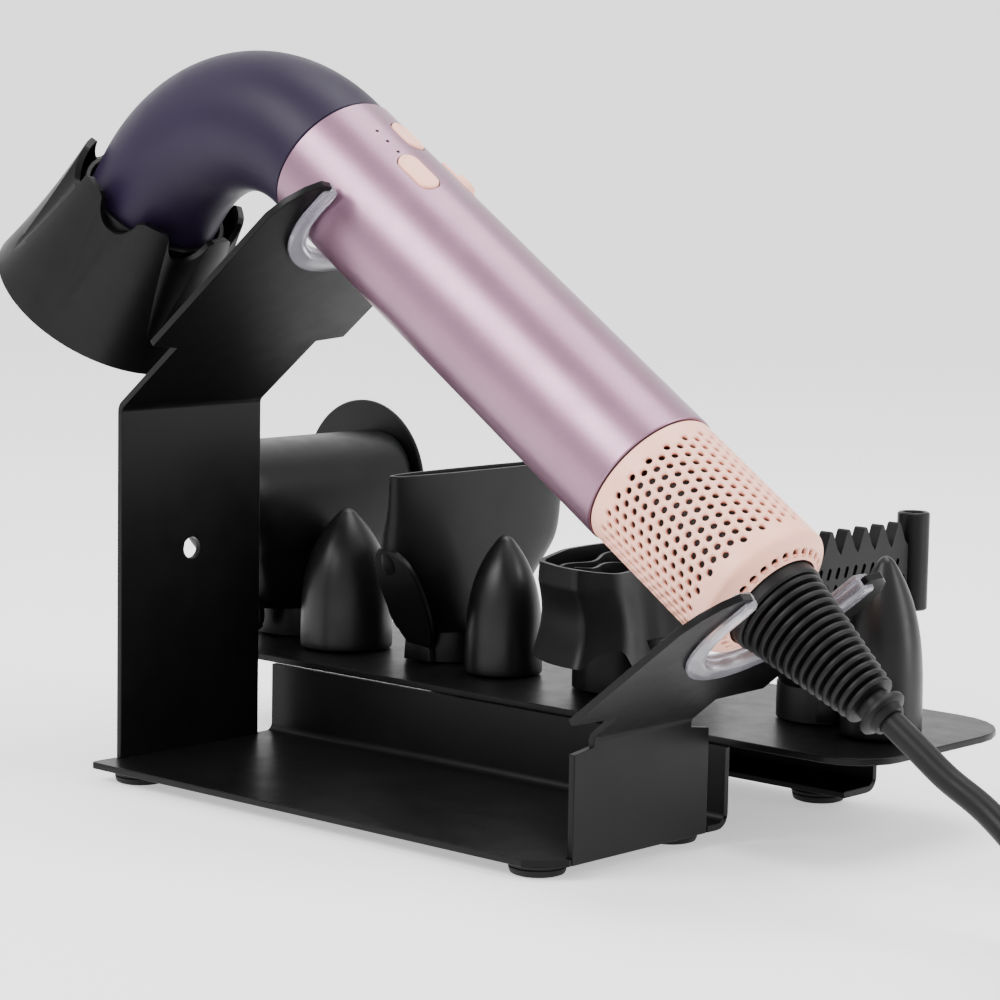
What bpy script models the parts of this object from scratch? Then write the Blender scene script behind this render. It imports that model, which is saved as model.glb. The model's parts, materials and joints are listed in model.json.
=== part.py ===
"""Bench-top styling station: a folded sheet-steel stand that carries a slim curved hair dryer in two
cradles, with four nozzles and four bullet pegs on its rear shelf. Metres, +Z up."""
from math import cos, hypot, pi, radians, sin, tau

import bmesh
import bpy
from mathutils import Matrix, Vector

# ---------------------------------------------------------------- driving dimensions
# The design frame starts at the tray's front left corner, on top of the base sheet. ORIGIN_SHIFT takes
# it to the middle of the object's footprint, with the rubber feet at height zero.
SHEET = 0.0018
FOOT_HEIGHT = 0.0035
GAP = 0.0003
BASE_TOP = FOOT_HEIGHT + SHEET
ORIGIN_SHIFT = Vector((-0.0884347, -0.0708500, BASE_TOP))

BASE_LENGTH = 0.164
BASE_DEPTH = 0.069
BASE_CHAMFER = 0.008
SHELF_TOP = 0.0212
SHELF_LEFT = -0.042
SHELF_RIGHT = 0.2065
SHELF_FRONT = 0.0675
SHELF_BACK = 0.139
SHELF_NEAR_CORNER = 0.014
SHELF_FAR_CORNER = 0.021
LEG_Y = 0.1325
LEG_FLANGE = 0.014
BEND_RADIUS = 0.003

BRACKET_WIDTH = 0.0512
CENTRE_Y = 0.0348
LEAN = radians(38.7)
REAR_BEND_HEIGHT = 0.0956
FRONT_BEND_HEIGHT = 0.0283
LINER_ARM_REAR = 0.0055
LINER_ARM_FRONT = 0.0085

TUBE_RADIUS = 0.019
TUBE_WALL = 0.0014
TUBE_SLOPE = radians(34.24)
AXIS_POINT = Vector((0.075, CENTRE_Y, 0.1493))
SEAM_AT = -0.0225
HEAD_ARC_AT = -0.027
CAGE_AT = 0.1083
CAGE_SHOULDER = 0.1494
CAGE_END = 0.1532
RELIEF_AT = 0.1538
RELIEF_END = 0.193
CAGE_RADIUS = 0.0186
COLLAR_OF_RELIEF = 0.0124

HEAD_RADIUS = 0.0186
HEAD_ARC_RADIUS = 0.0466
HEAD_BEND = radians(86.1)
HEAD_STRAIGHT = 0.0103
HEAD_WALL = 0.0016
CAGE_WALL = 0.0014
FAN_AT = 0.0810

CORD_RADIUS = 0.00315
COIL_MID_RADIUS = 0.035
COIL_CENTRE = (0.3465, 0.030)
COIL_LAYERS = 3
COIL_COLUMNS = 4

# ---------------------------------------------------------------- directions
ALONG = Vector((cos(TUBE_SLOPE), 0, -sin(TUBE_SLOPE)))
LIFT = Vector((sin(TUBE_SLOPE), 0, cos(TUBE_SLOPE)))
ACROSS = Vector((0, 1, 0))


def tube_point(t, lift=0.0, across=0.0):
    """A point t along the handle's axis, moved up and sideways from it."""
    return AXIS_POINT + ALONG * t + LIFT * lift + ACROSS * across


def arc(cx, cy, rx, ry, start, end, steps):
    """Points of an elliptical arc, both ends included."""
    points = []
    for i in range(steps + 1):
        angle = start + (end - start) * i / steps
        points.append((cx + rx * cos(angle), cy + ry * sin(angle)))
    return points


# ---------------------------------------------------------------- scene and materials
for old in list(bpy.data.objects):
    bpy.data.objects.remove(old, do_unlink=True)

station = bpy.data.collections.new("styling_station")
cutters = bpy.data.collections.new("cutters")
bpy.context.scene.collection.children.link(station)
bpy.context.scene.collection.children.link(cutters)

origin = bpy.data.objects.new("station_origin", None)
origin.location = ORIGIN_SHIFT
station.objects.link(origin)


def paint(name, colour, roughness, metallic=0.0, alpha=1.0):
    material = bpy.data.materials.new(name)
    material.use_nodes = True
    shader = material.node_tree.nodes["Principled BSDF"]
    shader.inputs["Base Color"].default_value = (*colour, 1.0)
    shader.inputs["Roughness"].default_value = roughness
    shader.inputs["Metallic"].default_value = metallic
    shader.inputs["Alpha"].default_value = alpha
    return material


def steel_black(name):
    return paint(name, (0.014, 0.014, 0.015), 0.38, 0.3)


def plastic_black(name):
    return paint(name, (0.02, 0.02, 0.021), 0.5)


def rubber_black(name):
    return paint(name, (0.018, 0.018, 0.018), 0.8)


def plain_metal(name):
    return paint(name, (0.55, 0.55, 0.56), 0.35, 1.0)


# ---------------------------------------------------------------- mesh helpers
def add_object(name, mesh, material, parent=origin, matrix=None, collection=station):
    """Link a mesh as a named object, placed in its parent's frame."""
    piece = bpy.data.objects.new(name, mesh)
    if material:
        mesh.materials.append(material)
    collection.objects.link(piece)
    piece.parent = parent
    if matrix is not None:
        piece.matrix_basis = matrix
    return piece


def mesh_from(bm, name, smooth=True):
    """Close a bmesh off as a mesh with its faces pointing out and round parts shaded smooth."""
    bmesh.ops.recalc_face_normals(bm, faces=bm.faces[:])
    mesh = bpy.data.meshes.new(name)
    bm.to_mesh(mesh)
    bm.free()
    if smooth:
        mesh.shade_smooth()
        mesh.set_sharp_from_angle(angle=radians(35))
    return mesh


def facing(direction, at=(0, 0, 0), roll=ACROSS):
    """A matrix whose local Z points along direction and whose local Y is near roll."""
    z = Vector(direction).normalized()
    x = Vector(roll).cross(z).normalized()
    y = z.cross(x)
    matrix = Matrix((x, y, z)).transposed().to_4x4()
    matrix.translation = Vector(at)
    return matrix


def box(name, size, at, material, matrix=None, parent=origin, bevel=0.0):
    bm = bmesh.new()
    bmesh.ops.create_cube(bm, size=1.0)
    bmesh.ops.scale(bm, vec=Vector(size), verts=bm.verts)
    bmesh.ops.translate(bm, vec=Vector(at), verts=bm.verts)
    piece = add_object(name, mesh_from(bm, name, False), material, parent, matrix)
    if bevel:
        rounding = piece.modifiers.new("rounded_edges", "BEVEL")
        rounding.width = bevel
        rounding.segments = 2
    return piece


def turned(name, profile, material, matrix=None, parent=origin, closed=False, steps=28):
    """A turned piece: its profile, at +X, runs down the outer side from top to bottom."""
    bm = bmesh.new()
    points = [bm.verts.new((radius, 0, height)) for radius, height in profile]
    for first, second in zip(points, points[1:]):
        bm.edges.new((first, second))
    if closed:
        bm.edges.new((points[-1], points[0]))
    mesh = bpy.data.meshes.new(name)
    bm.to_mesh(mesh)
    bm.free()
    piece = add_object(name, mesh, material, parent, matrix)
    screw = piece.modifiers.new("turned", "SCREW")
    screw.axis = "Z"
    screw.steps = steps
    screw.render_steps = steps
    screw.use_merge_vertices = True
    screw.merge_threshold = 0.00001
    return piece


def ring(name, outer, inner, low, high, material, matrix=None, parent=origin, steps=28):
    profile = [(outer, high), (outer, low), (inner, low), (inner, high)]
    return turned(name, profile, material, matrix, parent, closed=True, steps=steps)


def loft(sections):
    """Skin equal rings of points one after another, with a face at each end."""
    bm = bmesh.new()
    rings = [[bm.verts.new(point) for point in section] for section in sections]
    for low, high in zip(rings, rings[1:]):
        for i in range(len(low)):
            j = (i + 1) % len(low)
            bm.faces.new((low[i], low[j], high[j], high[i]))
    bm.faces.new(rings[0])
    bm.faces.new(rings[-1])
    bmesh.ops.triangulate(bm, faces=bm.faces[:])
    return bm


def flat_outline(name, loops, thickness):
    """A flat plate from closed outlines in XY, centred on Z = 0, as a welded bmesh."""
    curve = bpy.data.curves.new(name, "CURVE")
    curve.dimensions = "2D"
    curve.fill_mode = "BOTH"
    curve.extrude = thickness / 2
    for loop in loops:
        spline = curve.splines.new("POLY")
        spline.points.add(len(loop) - 1)
        for point, (x, y) in zip(spline.points, loop):
            point.co = (x, y, 0, 1)
        spline.use_cyclic_u = True
    drawing = bpy.data.objects.new(name, curve)
    cutters.objects.link(drawing)
    evaluated = drawing.evaluated_get(bpy.context.evaluated_depsgraph_get())
    mesh = bpy.data.meshes.new_from_object(evaluated)
    bpy.data.objects.remove(drawing, do_unlink=True)
    bm = bmesh.new()
    bm.from_mesh(mesh)
    bmesh.ops.remove_doubles(bm, verts=bm.verts[:], dist=0.00001)
    return bm


def fold(bm, bends, steps=6):
    """Fold a flat plate whose length runs along Y: bends are (start, angle, middle radius).
    A point (across, along, off) becomes (across, forward, up + off's normal)."""
    for start, angle, radius in bends:
        for i in range(steps + 1):
            cut_at = start + abs(angle) * radius * i / steps
            geometry = bm.verts[:] + bm.edges[:] + bm.faces[:]
            bmesh.ops.bisect_plane(bm, geom=geometry, dist=0.0000001,
                                   plane_co=(0, cut_at, 0), plane_no=(0, 1, 0))
    for vert in bm.verts:
        across, along, off = vert.co
        forward, up, heading, done = 0.0, 0.0, 0.0, None
        position = 0.0 if along > 0 else along
        forward = min(along, 0.0)
        for start, angle, radius in bends:
            if along <= start:
                break
            straight = start - position
            forward += straight * cos(heading)
            up += straight * sin(heading)
            length = abs(angle) * radius
            part = min(along - start, length) / length * angle
            side = 1 if angle > 0 else -1
            turn = heading + part
            forward += side * radius * (sin(turn) - sin(heading))
            up += side * radius * (cos(heading) - cos(turn))
            heading = turn
            position = start + length
        straight = max(along - max(position, 0.0), 0.0) if along > 0 else 0.0
        forward += straight * cos(heading)
        up += straight * sin(heading)
        vert.co = (across, forward - off * sin(heading), up + off * cos(heading))
    return bm


def cut(piece, name, bm, matrix=None):
    """Cut a closed cutter out of a piece with an exact Boolean."""
    cutter = add_object(name, mesh_from(bm, name, False), None, origin, matrix, cutters)
    cutter.hide_render = True
    cutter.display_type = "WIRE"
    boolean = piece.modifiers.new(name, "BOOLEAN")
    boolean.operation = "DIFFERENCE"
    boolean.solver = "EXACT"
    boolean.object = cutter


# ---------------------------------------------------------------- the stand's folded sheets
def base_tray():
    """Base sheet with a notch for each bracket, folded up at the back into the riser."""
    notch = SHEET + GAP
    low = CENTRE_Y - BRACKET_WIDTH / 2 - GAP
    high = CENTRE_Y + BRACKET_WIDTH / 2 + GAP
    riser_face = BASE_DEPTH - SHEET / 2
    bend_at = riser_face - BEND_RADIUS
    rise = SHELF_TOP - SHEET - GAP + SHEET / 2
    end = bend_at + BEND_RADIUS * pi / 2 + rise - BEND_RADIUS
    outline = [(0.001, 0), (BASE_LENGTH - BASE_CHAMFER, 0), (BASE_LENGTH, BASE_CHAMFER),
               (BASE_LENGTH, low), (BASE_LENGTH - notch, low), (BASE_LENGTH - notch, high),
               (BASE_LENGTH, high), (BASE_LENGTH, end), (0, end), (0, high), (notch, high),
               (notch, low), (0, low), (0, 0.001)]
    bm = fold(flat_outline("base_tray", [outline], SHEET), [(bend_at, pi / 2, BEND_RADIUS)])
    bmesh.ops.translate(bm, vec=(0, 0, -SHEET / 2), verts=bm.verts)
    add_object("base_tray", mesh_from(bm, "base_tray"), steel_black("tray_coat"))


def shelf_plate():
    """Flat shelf, longer than the riser, with large rounded ends and holes for the peg screws."""
    near, far, steps = SHELF_NEAR_CORNER, SHELF_FAR_CORNER, 6
    outline = arc(SHELF_RIGHT - near, SHELF_FRONT + near, near, near, -pi / 2, 0, steps)
    outline += arc(SHELF_RIGHT - far, SHELF_BACK - far, far, far, 0, pi / 2, steps)
    outline += arc(SHELF_LEFT + far, SHELF_BACK - far, far, far, pi / 2, pi, steps)
    outline += arc(SHELF_LEFT + near, SHELF_FRONT + near, near, near, pi, 3 * pi / 2, steps)
    hole = SCREW_RADIUS + 0.0004
    holes = [arc(x, y, hole, hole, 0, tau * 11 / 12, 11) for x, y, _, _ in PEGS]
    bm = flat_outline("shelf_plate", [outline] + holes, SHEET)
    bmesh.ops.translate(bm, vec=(0, 0, SHELF_TOP - SHEET / 2), verts=bm.verts)
    add_object("shelf_plate", mesh_from(bm, "shelf_plate"), steel_black("shelf_coat"))


def rear_leg():
    """Wall under the shelf's back, folded forward at the floor into a flange."""
    height = SHELF_TOP - SHEET - GAP + SHEET / 2
    bend_at = LEG_FLANGE - BEND_RADIUS
    end = bend_at + BEND_RADIUS * pi / 2 + height - BEND_RADIUS
    left = 0.0017
    outline = [(left, 0), (BASE_LENGTH, 0), (BASE_LENGTH, end), (left, end)]
    bm = fold(flat_outline("rear_leg", [outline], SHEET), [(bend_at, pi / 2, BEND_RADIUS)])
    bmesh.ops.translate(bm, vec=(0, LEG_Y - LEG_FLANGE, -SHEET / 2), verts=bm.verts)
    add_object("rear_leg", mesh_from(bm, "rear_leg"), steel_black("leg_coat"))


CRADLE_SIDE = 0.0196
CRADLE_DEPTH = 0.0214
LINER_WALL = 0.0014
LINER_LIP = 0.0011
FLANGE_WIDTH = 0.004


def cradle_bracket(name, bend_height, shoulder, axis_at, tip, half_shoulder, notch, hole=None):
    """Upright tab, bent over to lean along the bench, that widens into a two-pronged cradle.
    Lengths along the leaning part count from the bend."""
    half = BRACKET_WIDTH / 2
    bend = pi / 2 - LEAN
    bend_length = bend * BEND_RADIUS
    foot = bend_height + SHEET - bend_length / 2
    lean_at = foot + bend_length
    cut_side = CRADLE_SIDE + LINER_WALL + GAP
    cut_depth = CRADLE_DEPTH + LINER_WALL + GAP
    neck = half - notch
    right = [(half, 0), (half, foot - 0.002)]
    if notch:
        right += [(neck, foot - 0.001), (neck, lean_at + shoulder - 0.001)]
    else:
        right += [(half, lean_at + shoulder - 0.0015)]
    right += [(half_shoulder, lean_at + shoulder), (half_shoulder, lean_at + tip - 0.0135)]
    prong = [(half_shoulder - 0.002, lean_at + tip - 0.0075), (half_shoulder - 0.0055, lean_at + tip - 0.003),
             (half_shoulder - 0.0095, lean_at + tip - 0.0003), (cut_side + 0.0008, lean_at + tip - 0.0012)]
    right += prong
    inner = arc(0, lean_at + axis_at, cut_side, cut_depth, 0, -pi, 16)
    left = [(-x, y) for x, y in reversed(right)]
    loops = [right + inner + left]
    if hole:
        hole_radius = 0.003
        loops.append(arc(0, hole + SHEET, hole_radius, hole_radius, 0, tau * 15 / 16, 15))
    bm = fold(flat_outline(name, loops, SHEET), [(foot, bend, BEND_RADIUS)])
    bmesh.ops.translate(bm, vec=(0, 0, SHEET / 2), verts=bm.verts)
    return add_object(name, mesh_from(bm, name), steel_black(name + "_coat"))


def stand_up(piece, x):
    """Turn a bracket folded from the floor plane upright: its length becomes height."""
    piece.matrix_basis = Matrix(((0, 0, 1, x), (1, 0, 0, CENTRE_Y), (0, 1, 0, -SHEET), (0, 0, 0, 1)))


def cradle_liner(name, x, bend_height, axis_at, arm):
    """Clear channel pushed over the cradle's edge, swept along the U."""
    bend_half = (pi / 2 - LEAN) * BEND_RADIUS / 2
    lean_origin = Vector((x + SHEET / 2, CENTRE_Y, bend_height))
    rise = Vector((cos(LEAN), 0, sin(LEAN)))
    normal = Vector((-sin(LEAN), 0, cos(LEAN)))
    half_slot = SHEET / 2 + GAP
    half_wide = half_slot + LINER_LIP
    floor_at = LINER_WALL
    lip_at = LINER_WALL + FLANGE_WIDTH
    section = [(0, -half_wide), (0, half_wide), (lip_at, half_wide), (lip_at, half_slot),
               (floor_at, half_slot), (floor_at, -half_slot), (lip_at, -half_slot), (lip_at, -half_wide)]
    path = [((CRADLE_SIDE, arm), (1, 0))]
    for i in range(15):
        angle = -pi * i / 14
        point = (CRADLE_SIDE * cos(angle), CRADLE_DEPTH * sin(angle))
        out = Vector((cos(angle) / CRADLE_SIDE, sin(angle) / CRADLE_DEPTH)).normalized()
        path.append((point, (out.x, out.y)))
    path.append(((-CRADLE_SIDE, arm), (-1, 0)))
    sections = []
    for (side, up), (out_side, out_up) in path:
        station_point = lean_origin + rise * (axis_at + bend_half + up) + ACROSS * side
        outward = rise * out_up + ACROSS * out_side
        sections.append([station_point + outward * out + normal * across for out, across in section])
    clear = paint(name + "_clear", (0.8, 0.82, 0.85), 0.08, 0.0, 0.35)
    add_object(name, mesh_from(loft(sections), name), clear)


def lean_distance(x, bend_height):
    """How far along a leaning plate the handle's axis crosses it, from the bend."""
    plate = Vector((x + SHEET / 2, CENTRE_Y, bend_height))
    normal = Vector((-sin(LEAN), 0, cos(LEAN)))
    t = (plate - AXIS_POINT).dot(normal) / ALONG.dot(normal)
    return (AXIS_POINT + ALONG * t - plate).length


def cradles():
    front_x = BASE_LENGTH - SHEET
    half_bend = (pi / 2 - LEAN) * BEND_RADIUS / 2
    rear_axis = lean_distance(0, REAR_BEND_HEIGHT) - half_bend
    front_axis = lean_distance(front_x, FRONT_BEND_HEIGHT) - half_bend
    rear = cradle_bracket("rear_cradle", REAR_BEND_HEIGHT, shoulder=0.0285, axis_at=rear_axis,
                          tip=rear_axis + 0.0085, half_shoulder=0.0351, notch=0.0, hole=0.0555)
    front = cradle_bracket("front_cradle", FRONT_BEND_HEIGHT, shoulder=0.0095, axis_at=front_axis,
                           tip=front_axis + 0.0115, half_shoulder=0.0365, notch=0.007)
    stand_up(rear, 0)
    stand_up(front, front_x)
    cradle_liner("rear_cradle_liner", 0, REAR_BEND_HEIGHT, rear_axis, LINER_ARM_REAR)
    cradle_liner("front_cradle_liner", front_x, FRONT_BEND_HEIGHT, front_axis, LINER_ARM_FRONT)


# ---------------------------------------------------------------- feet and pegs
FOOT_RADIUS = 0.0074
FEET = {"front_left": (0.0095, 0.0099), "front_right": (0.1525, 0.0099),
        "middle_left": (0.0095, 0.0600), "middle_right": (0.1525, 0.0600),
        "rear_left": (0.0155, 0.1265), "rear_right": (0.1500, 0.1265)}


def feet():
    for place, (x, y) in FEET.items():
        top = -SHEET - GAP
        low = -SHEET - FOOT_HEIGHT
        profile = [(0, top), (FOOT_RADIUS, top), (FOOT_RADIUS - 0.0006, low + 0.0006),
                   (FOOT_RADIUS - 0.0014, low), (0, low)]
        turned("foot_" + place, profile, rubber_black("foot_" + place),
               Matrix.Translation((x, y, 0)), steps=18)


# centre X, centre Y, radius, height
PEGS = [(0.0027, 0.0945, 0.0134, 0.0405), (0.0635, 0.0955, 0.0108, 0.0385),
        (0.1010, 0.1020, 0.0098, 0.0260), (0.1885, 0.0990, 0.0103, 0.0455)]
PEG_FULLNESS = 3.6
PEG_BORE_DEPTH = 0.010
SCREW_RADIUS = 0.0019
SCREW_LENGTH = 0.0085
SCREW_HEAD_RADIUS = 0.0036
SCREW_HEAD_HEIGHT = 0.0016


def pegs():
    """Bullet-shaped posts, each drilled from below for its own countersunk screw."""
    for number, (x, y, radius, height) in enumerate(PEGS, 1):
        place = Matrix.Translation((x, y, SHELF_TOP + GAP))
        steps = 7
        nose = []
        for i in range(1, steps):
            share = 1 - (1 - i / steps) ** 2
            nose.append((radius * share, height * (1 - share) ** (1 / PEG_FULLNESS)))
        bore = SCREW_RADIUS + GAP
        profile = [(0, height)] + nose + [(radius, 0), (bore, 0), (bore, PEG_BORE_DEPTH),
                                                        (0, PEG_BORE_DEPTH)]
        turned("peg_%d" % number, profile, plastic_black("peg_%d" % number), place, steps=18)
        head_top = -SHEET - 2 * GAP
        head_low = head_top - SCREW_HEAD_HEIGHT
        screw = [(0, SCREW_LENGTH), (SCREW_RADIUS, SCREW_LENGTH), (SCREW_RADIUS, head_top),
                 (SCREW_HEAD_RADIUS, head_top), (SCREW_HEAD_RADIUS - 0.0006, head_low), (0, head_low)]
        turned("peg_screw_%d" % number, screw, plain_metal("peg_screw_%d" % number), place, steps=14)


# ---------------------------------------------------------------- the dryer
HANDLE = facing(ALONG, AXIS_POINT)


def arc_centre():
    return tube_point(HEAD_ARC_AT) - LIFT * HEAD_ARC_RADIUS


def head_point(angle):
    """Centre of the head's bent tube, at an angle of bend from its start, and the way it heads."""
    away = LIFT * cos(angle) - ALONG * sin(angle)
    heading = -LIFT * sin(angle) - ALONG * cos(angle)
    return arc_centre() + away * HEAD_ARC_RADIUS, heading


def outlet_frame():
    end, heading = head_point(HEAD_BEND)
    return facing(heading, end)


def head_shell():
    """Bent tube from the handle's seam to the outlet: a swept skin, open at both ends, with a wall."""
    steps, sides = 10, 20
    stations = [(tube_point(SEAM_AT), -ALONG)]
    stations += [head_point(HEAD_BEND * i / steps) for i in range(steps + 1)]
    end, heading = stations[-1]
    stations.append((end + heading * HEAD_STRAIGHT, heading))
    bm = bmesh.new()
    rings = []
    for centre, along in stations:
        up = along.cross(ACROSS)
        rings.append([bm.verts.new(centre + (up * cos(tau * k / sides) + ACROSS * sin(tau * k / sides))
                                   * HEAD_RADIUS) for k in range(sides)])
    for low, high in zip(rings, rings[1:]):
        for k in range(sides):
            bm.faces.new((low[k], low[k - 1], high[k - 1], high[k]))
    piece = add_object("head_shell", mesh_from(bm, "head_shell"),
                       paint("head_soft", (0.062, 0.044, 0.092), 0.42))
    wall = piece.modifiers.new("wall", "SOLIDIFY")
    wall.thickness = HEAD_WALL
    wall.offset = -1


# place along the handle, angle round it from the top, half length, half width
BUTTONS = {"airflow_button": (-0.0076, radians(9), 0.0056, 0.0029),
           "temperature_button": (0.0072, radians(-16.5), 0.0068, 0.0029),
           "power_slider": (0.0062, radians(38), 0.0066, 0.0025)}
SLIDER_TRAVEL = 0.0024


def button_frame(t, angle):
    """Local Z points out of the handle's surface, local X along the handle."""
    out = LIFT * cos(angle) + ACROSS * sin(angle)
    side = out.cross(ALONG)
    matrix = Matrix((ALONG, side, out)).transposed().to_4x4()
    matrix.translation = AXIS_POINT + ALONG * t
    return matrix


def pill(half_length, half_width, low, high, name):
    """Rounded-end block standing along local Z."""
    run = half_length - half_width
    outline = arc(run, 0, half_width, half_width, -pi / 2, pi / 2, 6)
    outline += arc(-run, 0, half_width, half_width, pi / 2, 3 * pi / 2, 6)
    bm = flat_outline(name, [outline], high - low)
    bmesh.ops.translate(bm, vec=(0, 0, (high + low) / 2), verts=bm.verts)
    return bm


def handle_tube():
    tube = ring("handle_tube", TUBE_RADIUS, TUBE_RADIUS - TUBE_WALL, SEAM_AT + GAP, CAGE_AT - GAP,
                paint("handle_lacquer", (0.42, 0.30, 0.38), 0.3, 0.75), HANDLE, steps=32)
    for name, (t, angle, half_length, half_width) in BUTTONS.items():
        clear = 0.0004
        travel = SLIDER_TRAVEL if name == "power_slider" else 0.0
        hole = pill(half_length + clear + travel / 2, half_width + clear, TUBE_RADIUS - 0.007,
                    TUBE_RADIUS + 0.005, name + "_opening")
        cut(tube, name + "_opening", hole, button_frame(t + travel / 2, angle))
        proud = 0.0008 if name != "power_slider" else 0.0014
        key = pill(half_length, half_width, TUBE_RADIUS - 0.0030, TUBE_RADIUS + proud, name)
        add_object(name, mesh_from(key, name), paint(name + "_peach", (0.90, 0.62, 0.52), 0.45),
                   origin, button_frame(t, angle))


def filter_cage():
    """Removable cage over the air inlet: a tube with a coned end that the cord comes through."""
    inner = CAGE_RADIUS - CAGE_WALL
    lip = COLLAR_OF_RELIEF + 2 * GAP
    profile = [(CAGE_RADIUS, CAGE_SHOULDER), (CAGE_RADIUS, CAGE_AT), (inner, CAGE_AT),
               (inner, CAGE_SHOULDER - CAGE_WALL / 2), (lip, CAGE_END - CAGE_WALL), (lip, CAGE_END),
               ((CAGE_RADIUS + lip) / 2 + 0.0006, (CAGE_SHOULDER + CAGE_END) / 2 + 0.0006)]
    turned("filter_cage", profile, paint("cage_peach", (0.92, 0.66, 0.56), 0.5), HANDLE,
           closed=True, steps=32)


def strain_relief():
    """Tapered sleeve: it starts inside the cage's end face and lets the cord out at its tip."""
    root = CAGE_END - 0.006
    profile = [(0.0056, RELIEF_END), (0.0062, RELIEF_END - 0.004), (0.0120, RELIEF_AT + 0.003),
               (COLLAR_OF_RELIEF, RELIEF_AT), (COLLAR_OF_RELIEF, root), (0, root)]
    turned("strain_relief", [(0, RELIEF_END)] + profile, rubber_black("relief_rubber"), HANDLE, steps=24)


def dryer_insides():
    """Outlet ring, heater, board, motor with its impeller, and the filter's core."""
    outlet = outlet_frame()
    ring("outlet_ring", 0.0166, 0.0115, 0.0030, HEAD_STRAIGHT - 0.0006, plain_metal("outlet_metal"),
         outlet, steps=24)
    ring("heater_core", 0.0163, 0.0050, 0.0280, 0.0600, paint("heater_mica", (0.55, 0.45, 0.30), 0.6),
         HANDLE, steps=20)
    box("control_board", (0.0030, 0.0200, 0.0360), (-0.0095, 0, -0.0020),
        paint("board_green", (0.03, 0.16, 0.07), 0.5), HANDLE)
    ring("motor_housing", 0.0170, 0.0152, 0.0640, 0.0980, plain_metal("motor_metal"), HANDLE, steps=24)
    ring("filter_core", 0.0150, 0.0134, CAGE_AT + 0.0010, CAGE_END - 0.0068,
         paint("filter_mesh", (0.25, 0.25, 0.26), 0.5, 0.6), HANDLE, steps=24)


def impeller():
    """Axial fan: a hub with twisted blades, on the motor's axis."""
    hub_radius, tip_radius, half_length = 0.0060, 0.0146, 0.0035
    blades, half_blade, half_root, twist = 9, 0.055, 0.11, radians(16)
    corners = [(hub_radius, -half_root), (tip_radius, -half_blade), (tip_radius, half_blade),
               (hub_radius, half_root)]
    bm = bmesh.new()
    levels = []
    for side in (-1, 1):
        level = []
        for blade in range(blades):
            middle = tau * blade / blades + side * twist / 2
            for radius, offset in corners:
                angle = middle + offset
                level.append(bm.verts.new((radius * cos(angle), radius * sin(angle), side * half_length)))
        levels.append(level)
    low, high = levels
    for i in range(len(low)):
        j = (i + 1) % len(low)
        bm.faces.new((low[i], low[j], high[j], high[i]))
    for level in levels:
        for blade in range(blades):
            bm.faces.new(level[4 * blade:4 * blade + 4])
        bm.faces.new([level[4 * i + k] for i in range(blades) for k in (0, 3)])
    bmesh.ops.triangulate(bm, faces=bm.faces[:])
    place = facing(ALONG, tube_point(FAN_AT))
    finish = paint("impeller_plastic", (0.3, 0.3, 0.32), 0.4)
    add_object("impeller", mesh_from(bm, "impeller", False), finish, origin, place)


# ---------------------------------------------------------------- the diffuser on the outlet
FINGERS = 7
FINGER_TURN = radians(15.5)
FINGER_RADIUS = 0.0243
FINGER_TOP = 0.0006
BOWL_WALL = 0.0020
RIM_AT = 0.0415
RIM_RADIUS = 0.0318
SCALLOP_DEPTH = 0.0079
SCALLOP_HALF_WIDTH = 0.0064
PLATE_AT = 0.0190
PLATE_THICKNESS = 0.0016


def diffuser():
    """Bowl with a wide mouth and fingers that reach back along the head, on a collar."""
    outlet = outlet_frame()
    collar_in = HEAD_RADIUS + 0.0006
    collar_out = collar_in + 0.0018
    collar_top = 0.0062
    web = HEAD_STRAIGHT + GAP
    web_inner = 0.0140
    web_low = web + 0.0018
    waist, waist_at = 0.0278, 0.0250
    inner_top = FINGER_RADIUS - BOWL_WALL
    profile = [(FINGER_RADIUS, FINGER_TOP), (inner_top, FINGER_TOP), (inner_top + 0.0002, web),
               (collar_out, web), (collar_out, collar_top), (collar_in, collar_top), (collar_in, web),
               (web_inner, web), (web_inner, web_low), (inner_top, web_low), (waist - BOWL_WALL, waist_at),
               (RIM_RADIUS - BOWL_WALL, RIM_AT), (RIM_RADIUS, RIM_AT), (waist, waist_at)]
    bowl = turned("diffuser_bowl", list(reversed(profile)), plastic_black("diffuser_plastic"), outlet,
                  closed=True, steps=32)
    for i in range(FINGERS):
        angle = tau * (i + 0.5) / FINGERS + FINGER_TURN
        bm = bmesh.new()
        bmesh.ops.create_cone(bm, cap_ends=True, segments=16, radius1=1, radius2=1, depth=3.6 * BOWL_WALL)
        bmesh.ops.scale(bm, vec=(SCALLOP_HALF_WIDTH, SCALLOP_DEPTH, 1), verts=bm.verts)
        out = Vector((cos(angle), sin(angle), 0))
        local = facing(out, out * (FINGER_RADIUS + 0.0004) + Vector((0, 0, FINGER_TOP)), (0, 0, 1))
        cut(bowl, "scallop_%d" % i, bm, outlet @ local)
    ring("diffuser_plate", 0.0238, 0.0060, PLATE_AT, PLATE_AT + PLATE_THICKNESS,
         plastic_black("diffuser_plate_plastic"), outlet, steps=32)
    ring("diffuser_magnet", 0.0182, 0.0146, web_low + GAP, web_low + 0.0030,
         plain_metal("diffuser_magnet_metal"), outlet, steps=24)


# ---------------------------------------------------------------- nozzles on the shelf
COLLAR_RADIUS = 0.0130
COLLAR_WALL = 0.0018
COLLAR_HEIGHT = 0.0100
SOCKET_DEPTH = 0.006
FLYAWAY_AT = (-0.0265, 0.1040)
CONCENTRATOR_AT = (0.0355, 0.1040)
WAVE_AT = (0.1010, 0.1020)
COMB_AT = (0.1650, 0.1080)


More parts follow.
